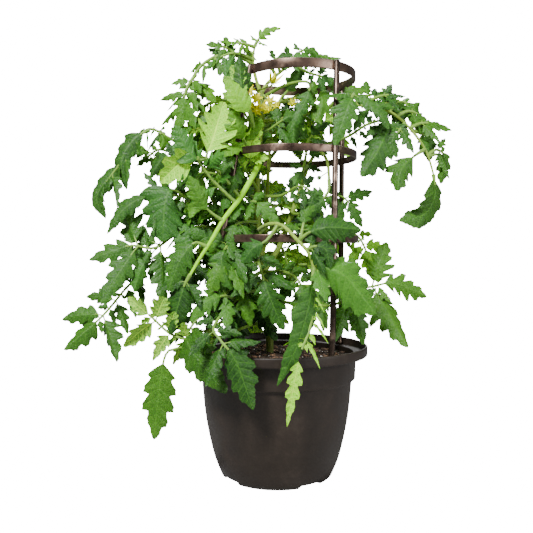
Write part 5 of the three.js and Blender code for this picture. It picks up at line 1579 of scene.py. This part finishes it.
def make_finishes():
    for name, form in LEAF_SIDES.items():
        leaf_finish(name, *form)
    for name, form in PLAIN_FINISHES.items():
        plain_finish(name, *form)
    for name, form in SUPPORT_FINISHES.items():
        support_finish(name, *form)
    stem_finish()
    pot_finish()
    bark_finish()
    floor_finish()


# ---------------------------------------------------------------- the room


def make_camera():
    data = bpy.data.cameras.new("camera")
    data.sensor_width = 36
    data.lens = data.sensor_width * VIEW_FOCAL / VIEW_SQUARE
    camera = bpy.data.objects.new("camera", data)
    camera.location = (VIEW_SIDE * MM, -VIEW_DISTANCE * MM, VIEW_HEIGHT * MM)
    down = math.atan((VIEW_SQUARE / 2 - VIEW_HORIZON) / VIEW_FOCAL)
    camera.rotation_euler = (math.pi / 2 - down, 0, 0)
    bpy.context.collection.objects.link(camera)
    bpy.context.scene.camera = camera


def make_floor():
    places = np.linspace(-FLOOR_REACH, FLOOR_REACH, FLOOR_LINES)
    grid = np.stack(np.broadcast_arrays(places[None, :], places[:, None], 0.0), axis=-1)
    mesh = bpy.data.meshes.new("floor")
    faces = grid_faces(FLOOR_LINES, FLOOR_LINES)
    mesh.from_pydata((grid.reshape(-1, 3) * MM).tolist(), [], faces.tolist())
    mesh.materials.append(MATERIALS["floor"])
    floor = bpy.data.objects.new("floor", mesh)
    bpy.context.collection.objects.link(floor)


def make_light(name, place, size, power):
    data = bpy.data.lights.new(name, "AREA")
    data.shape = "DISK"
    data.size = size
    data.energy = power
    light = bpy.data.objects.new(name, data)
    light.location = place
    towards = Vector(LIT_PLACE) - Vector(place)
    light.rotation_euler = towards.to_track_quat("-Z", "Y").to_euler()
    bpy.context.collection.objects.link(light)


def make_room():
    """The floor, the lights and the plain surroundings, which look whiter than they shine."""
    make_floor()
    for name, form in LIGHTS.items():
        make_light(name, *form)
    world = bpy.data.worlds.new("room")
    world.use_nodes = True
    nodes, links = world.node_tree.nodes, world.node_tree.links
    background = nodes["Background"]
    background.inputs["Color"].default_value = (1, 1, 1, 1)
    path = nodes.new("ShaderNodeLightPath")
    strength = nodes.new("ShaderNodeMapRange")
    strength.inputs["To Min"].default_value = SKY_LIGHT
    strength.inputs["To Max"].default_value = WHITE_ROOM
    links.new(path.outputs["Is Camera Ray"], strength.inputs["Value"])
    links.new(strength.outputs[0], background.inputs["Strength"])
    bpy.context.scene.world = world


make_finishes()
make_camera()
make_room()
list_round_leaves()
build_pot()
build_soil()
for ring_name in RINGS:
    build_ring(ring_name)
for leg_number in range(LEG_COUNT):
    build_leg(leg_number)
for stem_name, stem_form in STEMS.items():
    build_stem(stem_name, stem_form)
for leaf_number, leaf_form in enumerate(LEAVES):
    if leaf_form["name"]:
        leaf_shape = Shape()
        add_leaf(leaf_shape, leaf_form, leaf_number + 1)
        add_leaves_on(leaf_shape, leaf_form["name"])
        make_piece(f"fine_{leaf_form['name']}", leaf_shape, [leaf_form["name"]])
for truss_name, truss_form in TRUSSES.items():
    build_truss(truss_name, truss_form)
